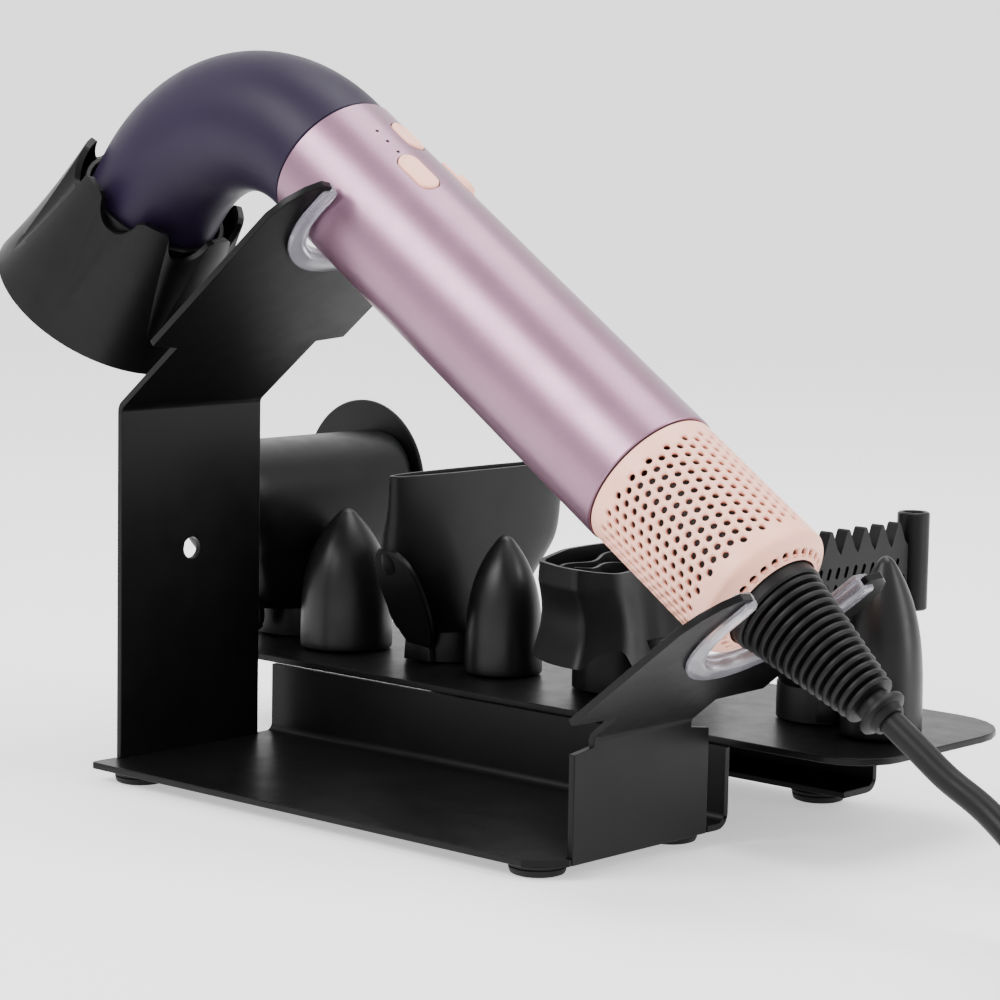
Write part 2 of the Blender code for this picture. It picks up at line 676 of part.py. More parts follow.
def oval(cx, cy, z, half_x, half_y, power=2.0, count=20):
    """A rounded rectangle or ellipse at height z: a higher power is squarer."""
    points = []
    for i in range(count):
        angle = tau * i / count
        c, s = cos(angle), sin(angle)
        x = half_x * abs(c) ** (2 / power) * (1 if c >= 0 else -1)
        y = half_y * abs(s) ** (2 / power) * (1 if s >= 0 else -1)
        points.append((cx + x, cy + y, z))
    return points


def hollow_loft(sections, wall, floor_at):
    """Skin sections bottom to top, then back down inside them, to a closed base at floor_at."""
    inner = []
    for section in reversed(sections):
        centre = sum((Vector(p) for p in section), Vector()) / len(section)
        if centre.z < floor_at:
            continue
        shrunk = []
        for point in section:
            arm = Vector(point) - centre
            flat = hypot(arm.x, arm.y)
            scale = max(1 - wall / flat, 0.12)
            shrunk.append(centre + Vector((arm.x * scale, arm.y * scale, arm.z)))
        inner.append(shrunk)
    last_centre = sum(inner[-1], Vector()) / len(inner[-1])
    inner.append([Vector((p.x, p.y, floor_at)) for p in inner[-1]] if last_centre.z > floor_at + 0.0005
                 else inner[-1])
    return loft(sections + [s for i, s in enumerate(inner) if i == 0 or s is not inner[i - 1]])


def magnet_ring(name, x, y):
    """Magnet in the foot of a nozzle's collar, which holds it to the steel shelf."""
    ring(name, COLLAR_RADIUS - COLLAR_WALL - GAP, 0.0078, GAP, 0.0030, plain_metal(name + "_metal"),
         Matrix.Translation((x, y, SHELF_TOP)), steps=20)


def collar_sections(x, y):
    """A socket open from below, as rings from inside its mouth to the top of its outer side."""
    z0 = SHELF_TOP + GAP
    inside = COLLAR_RADIUS - COLLAR_WALL
    return [oval(x, y, z0 + SOCKET_DEPTH, inside, inside), oval(x, y, z0, inside, inside),
            oval(x, y, z0, COLLAR_RADIUS, COLLAR_RADIUS),
            oval(x, y, z0 + COLLAR_HEIGHT, COLLAR_RADIUS, COLLAR_RADIUS)]


# The barrel and its disc share no axis: (x, z) of each, with the disc on the barrel's far end.
BARREL_AT = (-0.0243, 0.0613)
BARREL_RADIUS = 0.0190
BARREL_FULLNESS = 2.6
BARREL_BACK = 0.1332
FLANK_FOOT = 0.0855
FLANK_SLOPE = 0.53
DISC_AT = (-0.0298, 0.0642)
DISC_RADIUS = 0.0250


def barrel_section(x, z, half_width, power):
    """A level section of the flyaway's body, whose front end slants in towards the shelf."""
    rise = min(z, BARREL_AT[1]) - SHELF_TOP
    front = FLANK_FOOT - FLANK_SLOPE * rise
    return oval(x, (front + BARREL_BACK) / 2, z, half_width, (BARREL_BACK - front) / 2, power)


def flyaway_nozzle():
    """Barrel lying front to back over slanting flanks, with a thin round end disc."""
    x, y = FLYAWAY_AT
    z0 = SHELF_TOP + GAP
    barrel_x, barrel_z = BARREL_AT
    sections = collar_sections(x, y)
    sections.append(barrel_section(x + 0.0007, z0 + 0.0130, 0.0138, 3.0))
    sections.append(barrel_section(x + 0.0012, z0 + 0.0180, 0.0142, 3.8))
    steps, start = 7, -0.72
    bend = 2 / BARREL_FULLNESS
    for i in range(steps + 1):
        angle = start + (pi / 2 - start - 0.04) * i / steps
        side = 1 if angle > 0 else -1
        rise = side * BARREL_RADIUS * abs(sin(angle)) ** bend
        sections.append(barrel_section(barrel_x, barrel_z + rise, BARREL_RADIUS * cos(angle) ** bend, 5.0))
    bm = loft(sections)
    add_object("flyaway_nozzle", mesh_from(bm, "flyaway_nozzle"), plastic_black("flyaway_plastic"))
    disc = facing((0, 1, 0), (DISC_AT[0], BARREL_BACK + GAP, DISC_AT[1]), (0, 0, 1))
    edge, thick, chamfer = DISC_RADIUS, 0.0016, 0.0004
    profile = [(0, thick), (edge - chamfer, thick), (edge, thick - chamfer), (edge, 0), (0, 0)]
    turned("flyaway_disc", profile, plastic_black("flyaway_disc_plastic"), disc, steps=36)
    magnet_ring("flyaway_magnet", x, y)


def concentrator_nozzle():
    """Wide flat slot, front to back, over a round collar, with slanting ends."""
    x, y = CONCENTRATOR_AT
    top_x = x + 0.0100
    top = SHELF_TOP + 0.0555
    sections = collar_sections(x, y)
    sections += [oval(x + 0.0005, y, SHELF_TOP + 0.0130, 0.0122, 0.0185, 2.8),
                 oval(x + 0.0025, y, SHELF_TOP + 0.0200, 0.0100, 0.0245, 3.2),
                 oval(top_x - 0.0035, y, SHELF_TOP + 0.0330, 0.0066, 0.0340, 3.4),
                 oval(top_x, y, top, 0.0042, 0.0358, 3.4)]
    bm = hollow_loft(sections, 0.0016, SHELF_TOP + 0.0300)
    add_object("concentrator_nozzle", mesh_from(bm, "concentrator_nozzle"),
               plastic_black("concentrator_plastic"))
    magnet_ring("concentrator_magnet", x, y)


def wave_nozzle():
    """Waisted body with a mouth that is lower in front, standing over the third peg on its collar."""
    x, y = WAVE_AT
    top = SHELF_TOP + 0.0365
    wall = 0.0018
    outside = COLLAR_RADIUS + 0.0006
    bore = outside - wall
    z0 = SHELF_TOP + GAP
    sections = [oval(x, y, z0 + 0.0275, bore, bore), oval(x, y, z0, bore, bore),
                oval(x, y, z0, outside, outside), oval(x, y, z0 + 0.0090, outside, outside),
                oval(x, y, z0 + 0.0120, 0.0142, 0.0200, 2.3),
                oval(x, y, z0 + 0.0200, 0.0136, 0.0265, 2.6),
                oval(x + 0.0005, y, z0 + 0.0290, 0.0128, 0.0295, 3.0)]
    mouth_x, half_width, half_mouth, wave = x + 0.0020, 0.0104, 0.0318, 0.0026
    lip = []
    for px, py, _ in oval(mouth_x, y, top, half_width, half_mouth, 3.2):
        middle = 1 - abs((py - y) / half_mouth) ** 3
        lip.append((px, py, top - wave * middle * (px - mouth_x) / half_width))
    sections.append(lip)
    add_object("wave_nozzle", mesh_from(loft(sections), "wave_nozzle"), plastic_black("wave_plastic"))
    ring("wave_magnet", bore - GAP, 0.0103, GAP, 0.0026, plain_metal("wave_magnet_metal"),
         Matrix.Translation((x, y, SHELF_TOP)), steps=20)


def comb_nozzle():
    """Comb plate with teeth on top, on a body that rises from a round collar, with an open tube at
    its far end."""
    x, y = COMB_AT
    plate_x = x + 0.0040
    plate_thickness = 0.0034
    teeth, pitch, tooth = 7, 0.0075, 0.0060
    width = teeth * pitch
    low, high = SHELF_TOP + 0.0260, SHELF_TOP + 0.0440
    start = y + 0.0265 - width
    middle = start + width / 2
    outline = [(start, low), (start, high)]
    for i in range(teeth):
        left = start + pitch * i
        outline += [(left + pitch * 0.36, high + tooth), (left + pitch * 0.60, high + tooth),
                    (left + pitch, high)]
    outline.append((start + width, low))
    bm = flat_outline("comb_plate", [outline], plate_thickness)
    to_side = Matrix(((0, 0, 1, plate_x), (1, 0, 0, 0), (0, 1, 0, 0), (0, 0, 0, 1)))
    bmesh.ops.transform(bm, matrix=to_side, verts=bm.verts)
    add_object("comb_plate", mesh_from(bm, "comb_plate", False), plastic_black("comb_plate_plastic"))
    sections = collar_sections(x, y)
    sections += [oval(x + 0.0005, y, SHELF_TOP + 0.0135, 0.0118, 0.0150, 2.2),
                 oval(x + 0.0030, middle, SHELF_TOP + 0.0200, 0.0062, 0.0230, 2.6),
                 oval(plate_x, middle, low - GAP, 0.0026, width / 2, 4.0)]
    add_object("comb_body", mesh_from(loft(sections), "comb_body"), plastic_black("comb_body_plastic"))
    tube_radius = 0.0043
    ring("comb_tube", tube_radius, 0.0030, low, SHELF_TOP + 0.0520, plastic_black("comb_tube_plastic"),
         Matrix.Translation((plate_x, start + width + tube_radius + GAP, 0)), steps=20)
    magnet_ring("comb_magnet", x, y)


# ---------------------------------------------------------------- the cord
PLUG_SIZE = (0.0400, 0.0300, 0.0200)
PLUG_OFFSET = (-0.0100, 0.0185)
PIN_SPREAD = 0.0065
PIN_RADIUS = 0.0024
PIN_LENGTH = 0.0165
FLOOR = -SHEET - FOOT_HEIGHT


def smooth_route(knots, per_span):
    """Points of a Catmull-Rom curve through the knots."""
    ends = [knots[0] * 2 - knots[1]] + knots + [knots[-1] * 2 - knots[-2]]
    points = []
    for a, b, c, d in zip(ends, ends[1:], ends[2:], ends[3:]):
        for i in range(per_span):
            t = i / per_span
            points.append(0.5 * (2 * b + (c - a) * t + (2 * a - 5 * b + 4 * c - d) * t * t
                                 + (3 * b - a - 3 * c + d) * t ** 3))
    points.append(knots[-1])
    return points


def build_cord():
    lie = FLOOR + CORD_RADIUS + 0.0001
    cx, cy = COIL_CENTRE
    outer = COIL_MID_RADIUS + COIL_COLUMNS * CORD_RADIUS
    start = tube_point(RELIEF_END + GAP)
    side = cy - outer - CORD_RADIUS - GAP
    knots = [start, start + ALONG * 0.010, start + ALONG * 0.020, Vector((0.2620, CENTRE_Y, 0.0235)),
             Vector((0.2740, CENTRE_Y - 0.0020, 0.0155)), Vector((0.2850, CENTRE_Y - 0.0080, 0.0085)),
             Vector((0.2930, CENTRE_Y - 0.0180, 0.0035)), Vector((0.2990, CENTRE_Y - 0.0290, 0.0003)),
             Vector((0.3060, CENTRE_Y - 0.0395, lie + 0.0003)), Vector((0.3160, side + 0.0065, lie)),
             Vector((0.3280, side + 0.0012, lie)), Vector((cx, side, lie))]
    tube = bpy.data.curves.new("cord_lead", "CURVE")
    tube.dimensions = "3D"
    tube.bevel_depth = CORD_RADIUS
    tube.bevel_resolution = 2
    tube.use_fill_caps = True
    route = smooth_route(knots, 3)
    spline = tube.splines.new("POLY")
    spline.points.add(len(route) - 1)
    for knot, point in zip(spline.points, route):
        knot.co = (*point, 1)
    tube.materials.append(rubber_black("cord_rubber"))
    lead = bpy.data.objects.new("cord_lead", tube)
    station.objects.link(lead)
    lead.parent = origin
    inner = COIL_MID_RADIUS - COIL_COLUMNS * CORD_RADIUS
    ring("cord_coil", outer, inner, FLOOR, FLOOR + COIL_LAYERS * 2 * CORD_RADIUS,
         rubber_black("coil_rubber"), Matrix.Translation((cx, cy, 0)), steps=36)
    plug_at = Vector((cx + PLUG_OFFSET[0], cy + outer + PLUG_OFFSET[1], FLOOR + PLUG_SIZE[2] / 2))
    box("plug", PLUG_SIZE, plug_at, rubber_black("plug_rubber"), bevel=0.003)
    for name, offset in (("plug_pin_1", -PIN_SPREAD), ("plug_pin_2", PIN_SPREAD)):
        pin = facing((-1, 0, 0), plug_at + Vector((-PLUG_SIZE[0] / 2 - GAP, offset, 0)))
        profile = [(0, PIN_LENGTH), (PIN_RADIUS - 0.0006, PIN_LENGTH - 0.0005),
                   (PIN_RADIUS, PIN_LENGTH - 0.0015), (PIN_RADIUS, 0), (0, 0)]
        turned(name, profile, plain_metal(name + "_metal"), pin, steps=14)


def build_station():
    base_tray()
    shelf_plate()
    rear_leg()
    cradles()
    feet()
    pegs()
    head_shell()
    handle_tube()
    filter_cage()
    strain_relief()
    dryer_insides()
    impeller()
    diffuser()
    flyaway_nozzle()
    concentrator_nozzle()
    wave_nozzle()
    comb_nozzle()
    build_cord()


build_station()
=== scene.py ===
"""Looks of the styling station: detailed pieces, the cord and every material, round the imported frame."""
import json
from math import cos, hypot, pi, radians, sin, tau

import bmesh
import bpy
from mathutils import Matrix, Vector


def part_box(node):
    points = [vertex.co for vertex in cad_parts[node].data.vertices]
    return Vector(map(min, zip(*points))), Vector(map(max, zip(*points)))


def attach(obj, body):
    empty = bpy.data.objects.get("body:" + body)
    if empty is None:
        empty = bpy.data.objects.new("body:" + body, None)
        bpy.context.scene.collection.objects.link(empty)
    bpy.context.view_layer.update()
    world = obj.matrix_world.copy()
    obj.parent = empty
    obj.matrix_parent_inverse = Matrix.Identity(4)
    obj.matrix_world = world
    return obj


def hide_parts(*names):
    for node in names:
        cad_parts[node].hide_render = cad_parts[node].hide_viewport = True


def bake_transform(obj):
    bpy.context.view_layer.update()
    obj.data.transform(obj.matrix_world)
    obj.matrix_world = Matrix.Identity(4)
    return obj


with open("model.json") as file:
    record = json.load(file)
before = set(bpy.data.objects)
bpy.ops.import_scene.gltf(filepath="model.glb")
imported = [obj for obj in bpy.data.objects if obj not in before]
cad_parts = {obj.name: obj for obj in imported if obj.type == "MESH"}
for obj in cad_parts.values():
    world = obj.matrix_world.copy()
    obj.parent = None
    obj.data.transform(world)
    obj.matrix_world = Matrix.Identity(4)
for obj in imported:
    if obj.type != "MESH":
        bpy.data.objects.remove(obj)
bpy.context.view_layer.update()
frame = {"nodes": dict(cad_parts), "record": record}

# ---------------------------------------------------------------- places, taken from the frame
JOINTS = {joint["name"]: joint for joint in frame["record"]["behaviour"]["joints"]}
ALONG = Vector(JOINTS["impeller_spin"]["axis"]).normalized()
LIFT = Vector(JOINTS["dryer_lift"]["axis"]).normalized()
HEADING = Vector(JOINTS["diffuser_pull"]["axis"]).normalized()
ACROSS = Vector((0, 1, 0))
SIDEWAYS = Vector((1, 0, 0))
UP = Vector((0, 0, 1))
SHEET = 0.0018
GAP = 0.0003
TRAY_CORNER = Vector(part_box("base_tray")[0]) + Vector((0, 0, SHEET))
IMPELLER_AT = 0.0810
AXIS_POINT = Vector(JOINTS["impeller_spin"]["pos_m"]) - ALONG * IMPELLER_AT
SHELF_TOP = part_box("shelf_plate")[1][2] - TRAY_CORNER.z
FLOOR = -TRAY_CORNER.z
CENTRE_Y = 0.0348

TUBE_RADIUS = 0.0190
TUBE_WALL = 0.0014
SEAM_AT = -0.0225
HEAD_ARC_AT = -0.0270
HEAD_RADIUS = 0.0186
HEAD_ARC_RADIUS = 0.0466
HEAD_BEND = radians(86.1)
HEAD_STRAIGHT = 0.0103
CAGE_AT = 0.1083
CAGE_SHOULDER = 0.1494
CAGE_END = 0.1532
CAGE_RADIUS = 0.0186
RELIEF_AT = 0.1538
RELIEF_END = 0.1930
RELIEF_COLLAR = 0.0124
CORD_RADIUS = 0.00315


def on_tray(x, y, z=0.0):
    """A point measured from the tray's front left corner, on top of the base sheet."""
    return TRAY_CORNER + Vector((x, y, z))


def box_of(node):
    """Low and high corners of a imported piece."""
    return tuple(Vector(corner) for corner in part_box(node))


def round_post(node):
    """Foot centre, radius and height of an upright round piece of the frame."""
    low, high = box_of(node)
    foot = Vector(((low.x + high.x) / 2, (low.y + high.y) / 2, low.z))
    return foot, (high.x - low.x) / 2, high.z - low.z


def tube_point(t, radius=0.0, azimuth=0.0):
    """A point t along the handle's axis, and out from it at an angle round it from the top."""
    return AXIS_POINT + ALONG * t + (LIFT * cos(azimuth) + ACROSS * sin(azimuth)) * radius


def arc_centre():
    """Centre of the arc that the head's tube is bent round."""
    return tube_point(HEAD_ARC_AT) - LIFT * HEAD_ARC_RADIUS


def head_point(angle):
    """Centre of the head's bent tube at an angle of bend, and the way it heads."""
    away = LIFT * cos(angle) - ALONG * sin(angle)
    heading = -LIFT * sin(angle) - ALONG * cos(angle)
    return arc_centre() + away * HEAD_ARC_RADIUS, heading


OUTLET = head_point(HEAD_BEND)[0]
OUTLET_X = ACROSS.cross(HEADING).normalized()
OUTLET_Y = HEADING.cross(OUTLET_X)


def outlet_point(height, radius=0.0, azimuth=0.0):
    """A point along the outlet's heading, and out from its axis at an angle round it."""
    return OUTLET + HEADING * height + (OUTLET_X * cos(azimuth) + OUTLET_Y * sin(azimuth)) * radius


# ---------------------------------------------------------------- camera
CAMERA_AHEAD = Vector((-0.664876, 0.737782, -0.116698))


def make_camera():
    """Long lens in front of the station's right, a little above it."""
    camera_data = bpy.data.cameras.new("view_camera")
    camera_data.lens = 109.448
    camera_data.sensor_width = 36.0
    camera_data.clip_start = 0.05
    camera = bpy.data.objects.new("view_camera", camera_data)
    bpy.context.scene.collection.objects.link(camera)
    right = Vector((0.741318, 0.670912, 0.018012))
    up = Vector((-0.091583, 0.074535, 0.993004))
    turn = Matrix((right, up, -CAMERA_AHEAD)).transposed().to_4x4()
    turn.translation = Vector((0.533060, -0.597158, 0.173258))
    camera.matrix_world = turn
    bpy.context.scene.camera = camera


# ---------------------------------------------------------------- materials
def links_of(material):
    tree = material.node_tree
    return tree.nodes, tree.links


def noise(material, scale, detail, roughness=0.55):
    """Noise over the object's own coordinates, in metres."""
    nodes, links = links_of(material)
    place = nodes.new("ShaderNodeTexCoord")
    texture = nodes.new("ShaderNodeTexNoise")
    texture.inputs["Scale"].default_value = scale
    texture.inputs["Detail"].default_value = detail
    texture.inputs["Roughness"].default_value = roughness
    links.new(place.outputs["Object"], texture.inputs["Vector"])
    return texture.outputs["Fac"]


def remap(material, source, low, high, from_low=0.3, from_high=0.7):
    """A value spread from one range to another."""
    nodes, links = links_of(material)
    node = nodes.new("ShaderNodeMapRange")
    node.inputs["From Min"].default_value = from_low
    node.inputs["From Max"].default_value = from_high
    node.inputs["To Min"].default_value = low
    node.inputs["To Max"].default_value = high
    links.new(source, node.inputs["Value"])
    return node.outputs["Result"]


def blend_colour(material, factor, first, second):
    """A colour between two, by a factor."""
    nodes, links = links_of(material)
    node = nodes.new("ShaderNodeMix")
    node.data_type = "RGBA"
    links.new(factor, node.inputs["Factor"])
    node.inputs["A"].default_value = (*first, 1)
    node.inputs["B"].default_value = (*second, 1)
    return node.outputs["Result"]


def grain_bump(material, scale, strength, depth):
    """A fine grain that only moves the shading normal."""
    nodes, links = links_of(material)
    bump = nodes.new("ShaderNodeBump")
    bump.inputs["Strength"].default_value = strength
    bump.inputs["Distance"].default_value = depth
    links.new(noise(material, scale, 2.0), bump.inputs["Height"])
    links.new(bump.outputs["Normal"], nodes["Principled BSDF"].inputs["Normal"])


def surface(name, colour, roughness, other=None, cloud=45.0, grain=2600.0, grain_depth=0.00002,
            grain_strength=0.35, spread=0.05, **constants):
    """A principled material: clouded colour and roughness, with a fine grain as bump."""
    material = bpy.data.materials.new(name)
    material.use_nodes = True
    nodes, links = links_of(material)
    shader = nodes["Principled BSDF"]
    for socket, value in constants.items():
        shader.inputs[socket.replace("_", " ")].default_value = value
    other = other or tuple(min(1.0, c * 1.25 + 0.002) for c in colour)
    clouds = noise(material, cloud, 4.0)
    links.new(blend_colour(material, remap(material, clouds, 0.0, 1.0), colour, other),
              shader.inputs["Base Color"])
    patches = noise(material, cloud * 3.1, 5.0, 0.6)
    links.new(remap(material, patches, roughness - spread, roughness + spread), shader.inputs["Roughness"])
    if grain_depth:
        grain_bump(material, grain, grain_strength, grain_depth)
    return material


def metallic_lacquer():
    """Mauve lacquer over fine metal flakes."""
    material = surface("handle_lacquer", (0.245, 0.130, 0.188), 0.36, (0.280, 0.152, 0.216), cloud=30,
                       grain=5200, grain_depth=0.000012, grain_strength=0.30, spread=0.03, Metallic=0.82,
                       Coat_Weight=0.12, Coat_Roughness=0.16)
    nodes, links = links_of(material)
    place = nodes.new("ShaderNodeTexCoord")
    flakes = nodes.new("ShaderNodeTexVoronoi")
    flakes.inputs["Scale"].default_value = 4200
    links.new(place.outputs["Object"], flakes.inputs["Vector"])
    shader = nodes["Principled BSDF"]
    base = shader.inputs["Base Color"].links[0].from_socket
    sparkle = remap(material, flakes.outputs["Distance"], 1.0, 0.0, 0.0, 0.35)
    mix = nodes.new("ShaderNodeMix")
    mix.data_type = "RGBA"
    links.new(remap(material, sparkle, 0.0, 0.35, 0.0, 1.0), mix.inputs["Factor"])
    links.new(base, mix.inputs["A"])
    mix.inputs["B"].default_value = (0.55, 0.36, 0.46, 1)
    links.new(mix.outputs["Result"], shader.inputs["Base Color"])
    return material


def clear_plastic():
    """Clear, faintly violet moulding."""
    material = bpy.data.materials.new("clear_liner")
    material.use_nodes = True
    nodes, links = links_of(material)
    shader = nodes["Principled BSDF"]
    shader.inputs["Transmission Weight"].default_value = 0.88
    shader.inputs["IOR"].default_value = 1.42
    haze = noise(material, 60, 3)
    links.new(blend_colour(material, remap(material, haze, 0, 1), (0.80, 0.79, 0.88), (0.90, 0.89, 0.95)),
              shader.inputs["Base Color"])
    links.new(remap(material, noise(material, 170, 4), 0.10, 0.22), shader.inputs["Roughness"])
    grain_bump(material, 240, 0.15, 0.0001)
    return material


def make_materials():
    """Every finish by its short name."""
    return {
        "steel": surface("black_steel", (0.0019, 0.0019, 0.0021), 0.36, (0.0029, 0.0029, 0.0031), grain=3400,
                         grain_depth=0.00003, grain_strength=0.22, spread=0.04, Specular_IOR_Level=0.14),
        "edge": surface("bare_metal", (0.45, 0.45, 0.46), 0.30, (0.60, 0.60, 0.61), Metallic=1.0),
        "peg": surface("peg_plastic", (0.0028, 0.0028, 0.0030), 0.36, (0.0042, 0.0042, 0.0045), grain=3000,
                       grain_depth=0.00002, Specular_IOR_Level=0.26),
        "nozzle": surface("nozzle_plastic", (0.0024, 0.0024, 0.0027), 0.40, (0.0036, 0.0036, 0.0039),
                          grain=2800, grain_depth=0.000025, Specular_IOR_Level=0.17),
        "rubber": surface("cord_rubber", (0.0032, 0.0032, 0.0034), 0.46, (0.0050, 0.0050, 0.0053), grain=2200,
                          grain_depth=0.00004, Specular_IOR_Level=0.17),
        "foot": surface("foot_rubber", (0.0050, 0.0050, 0.0052), 0.66, (0.0080, 0.0080, 0.0082), grain=1500,
                        grain_depth=0.00006, Specular_IOR_Level=0.25),
        "head": surface("head_soft", (0.0100, 0.0052, 0.0185), 0.46, (0.0125, 0.0068, 0.0225), cloud=22,
                        grain=4200, grain_depth=0.00002, grain_strength=0.25, Specular_IOR_Level=0.17),
        "handle": metallic_lacquer(),
        "peach": surface("peach_plastic", (0.965, 0.470, 0.345), 0.42, (0.975, 0.510, 0.385), cloud=35,
                         grain=3600, grain_depth=0.000015, Subsurface_Weight=0.08,
                         Subsurface_Radius=(0.0008, 0.0004, 0.0003), Subsurface_Scale=1.0),
        "clear": clear_plastic(),
        "mica": surface("heater_mica", (0.42, 0.33, 0.20), 0.55, (0.55, 0.45, 0.30)),
        "board": surface("board_green", (0.020, 0.120, 0.050), 0.45, (0.030, 0.160, 0.070)),
        "fan": surface("fan_plastic", (0.22, 0.22, 0.24), 0.40, (0.30, 0.30, 0.32)),
        "dark": surface("filter_mesh", (0.014, 0.008, 0.007), 0.60, (0.022, 0.014, 0.012)),
        "floor": surface("pale_floor", (0.80, 0.80, 0.80), 0.65, (0.82, 0.82, 0.82), cloud=2.0,
                         grain_depth=0.0, Specular_IOR_Level=0.1, Emission_Color=(1, 1, 1, 1),
                         Emission_Strength=0.60),
    }


# ---------------------------------------------------------------- mesh helpers
def bare_object(name, bm):
    """An object of its own from a bmesh, which is used up."""
    bmesh.ops.recalc_face_normals(bm, faces=bm.faces[:])
    mesh = bpy.data.meshes.new(name)
    bm.to_mesh(mesh)
    bm.free()
    item = bpy.data.objects.new(name, mesh)
    bpy.context.scene.collection.objects.link(item)
    return item


def shade(mesh, angle):
    """Smooth shading with edges sharper than an angle kept."""
    mesh.shade_smooth()
    mesh.set_sharp_from_angle(angle=radians(angle))


def add_piece(name, bm, finish, key, body, replaces=(), angle=35):
    """A visible piece in one of the finishes, that rides on a body and stands for CAD nodes."""
    piece = bare_object(name, bm)
    shade(piece.data, angle)
    piece.data.materials.append(finish[key])
    if body:
        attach(piece, body)
    if replaces:
        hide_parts(*replaces)
    return piece


def skin(bm, rings, closed=True, caps=(False, False), loop=False):
    """Skin equal rings of points one after another, and return the rings of vertices."""
    verts = [[bm.verts.new(point) for point in ring] for ring in rings]
    pairs = list(zip(verts, verts[1:]))
    if loop:
        pairs.append((verts[-1], verts[0]))
    count = len(verts[0])
    for low, high in pairs:
        for i in range(count if closed else count - 1):
            j = (i + 1) % count
            bm.faces.new((low[i], low[j], high[j], high[i]))
    if caps[0]:
        bm.faces.new(verts[0])
    if caps[1]:
        bm.faces.new(verts[-1])
    return verts


def circle(centre, x_axis, y_axis, radius, sides):
    """Points of a circle, from the first axis towards the second."""
    return [centre + (x_axis * cos(tau * i / sides) + y_axis * sin(tau * i / sides)) * radius
            for i in range(sides)]


def lathe(profile, centre, axis, x_axis, sides=96, loop=False, bm=None):
    """Turn a profile of (radius, height) about an axis. Ends at radius zero close themselves."""
    y_axis = axis.cross(x_axis)
    bm = bm or bmesh.new()
    rings = []
    for radius, height in profile:
        if radius <= 0:
            rings.append([bm.verts.new(centre + axis * height)])
        else:
            level = circle(centre + axis * height, x_axis, y_axis, radius, sides)
            rings.append([bm.verts.new(point) for point in level])
    pairs = list(zip(rings, rings[1:]))
    if loop:
        pairs.append((rings[-1], rings[0]))
    for low, high in pairs:
        for i in range(sides):
            j = (i + 1) % sides
            corners = [low[i % len(low)], low[j % len(low)], high[j % len(high)], high[i % len(high)]]
            unique = []
            for corner in corners:
                if corner not in unique:
                    unique.append(corner)
            bm.faces.new(unique)
    return bm


def rounded(points, radius, steps=3):
    """Round the inner corners of an open profile with short curves."""
    result = [points[0]]
    for before, corner, after in zip(points, points[1:], points[2:]):
        a, b, c = Vector(before), Vector(corner), Vector(after)
        reach = min(radius, (a - b).length * 0.45, (c - b).length * 0.45)
        start = b + (a - b).normalized() * reach
        end = b + (c - b).normalized() * reach
        for i in range(steps + 1):
            t = i / steps
            p = start * (1 - t) ** 2 + b * 2 * t * (1 - t) + end * t * t
            result.append((p.x, p.y))
    result.append(points[-1])
    return result


def cut_with(piece, bm, name):
    """Cut closed cutters out of a piece, as mesh."""
    cutter = bare_object(name, bm)
    hole = piece.modifiers.new(name, "BOOLEAN")
    hole.solver = "EXACT"
    hole.operation = "DIFFERENCE"
    hole.object = cutter
    graph = bpy.context.evaluated_depsgraph_get()
    mesh = bpy.data.meshes.new_from_object(piece.evaluated_get(graph))
    piece.modifiers.clear()
    piece.data = mesh
    shade(mesh, 30)
    bpy.data.objects.remove(cutter, do_unlink=True)


def soften(piece, width, segments=2, angle=35):
    """Round a piece's sharp edges."""
    rounding = piece.modifiers.new("rounded_edges", "BEVEL")
    rounding.width = width
    rounding.segments = segments
    rounding.limit_method = "ANGLE"
    rounding.angle_limit = radians(angle)
    rounding.harden_normals = False
    return piece


def flat_prism(bm, outline, low, high, place, chamfer=0.0):
    """A closed prism over an outline in a frame's XY plane, with its upper edge stepped in."""
    levels = [(low, 0.0), (high - chamfer, 0.0), (high, chamfer)] if chamfer else [(low, 0.0), (high, 0.0)]
    centre_x = sum(p[0] for p in outline) / len(outline)
    centre_y = sum(p[1] for p in outline) / len(outline)
    rings = []
    for z, inset in levels:
        ring = []
        for x, y in outline:
            reach = max(hypot(x - centre_x, y - centre_y), 1e-6)
            share = 1 - inset / reach
            moved = (centre_x + (x - centre_x) * share, centre_y + (y - centre_y) * share, z)
            ring.append(place @ Vector(moved))
        rings.append(ring)
    return skin(bm, rings, caps=(True, True))


def pierced_plate(name, loops, thickness, place):
    """A flat plate with holes: closed outlines in a frame's XY plane, filled and thickened about it."""
    curve = bpy.data.curves.new(name, "CURVE")
    curve.dimensions = "2D"
    curve.fill_mode = "BOTH"
    curve.extrude = thickness / 2
    for loop in loops:
        spline = curve.splines.new("POLY")
        spline.points.add(len(loop) - 1)
        for point, (x, y) in zip(spline.points, loop):
            point.co = (x, y, 0, 1)
        spline.use_cyclic_u = True
    drawing = bpy.data.objects.new(name, curve)
    bpy.context.scene.collection.objects.link(drawing)
    mesh = bpy.data.meshes.new_from_object(drawing.evaluated_get(bpy.context.evaluated_depsgraph_get()))
    bpy.data.objects.remove(drawing, do_unlink=True)
    bm = bmesh.new()
    bm.from_mesh(mesh)
    bmesh.ops.remove_doubles(bm, verts=bm.verts[:], dist=0.000005)
    bmesh.ops.transform(bm, matrix=place, verts=bm.verts[:])
    return bm


def arc(cx, cy, rx, ry, start, end, steps):
    """Points of an elliptical arc, both ends included."""
    angles = [start + (end - start) * i / steps for i in range(steps + 1)]
    return [(cx + rx * cos(angle), cy + ry * sin(angle)) for angle in angles]


def round_outline(rx, ry, sides):
    """A closed ellipse round the origin."""
    return arc(0, 0, rx, ry, 0, tau * (sides - 1) / sides, sides - 1)


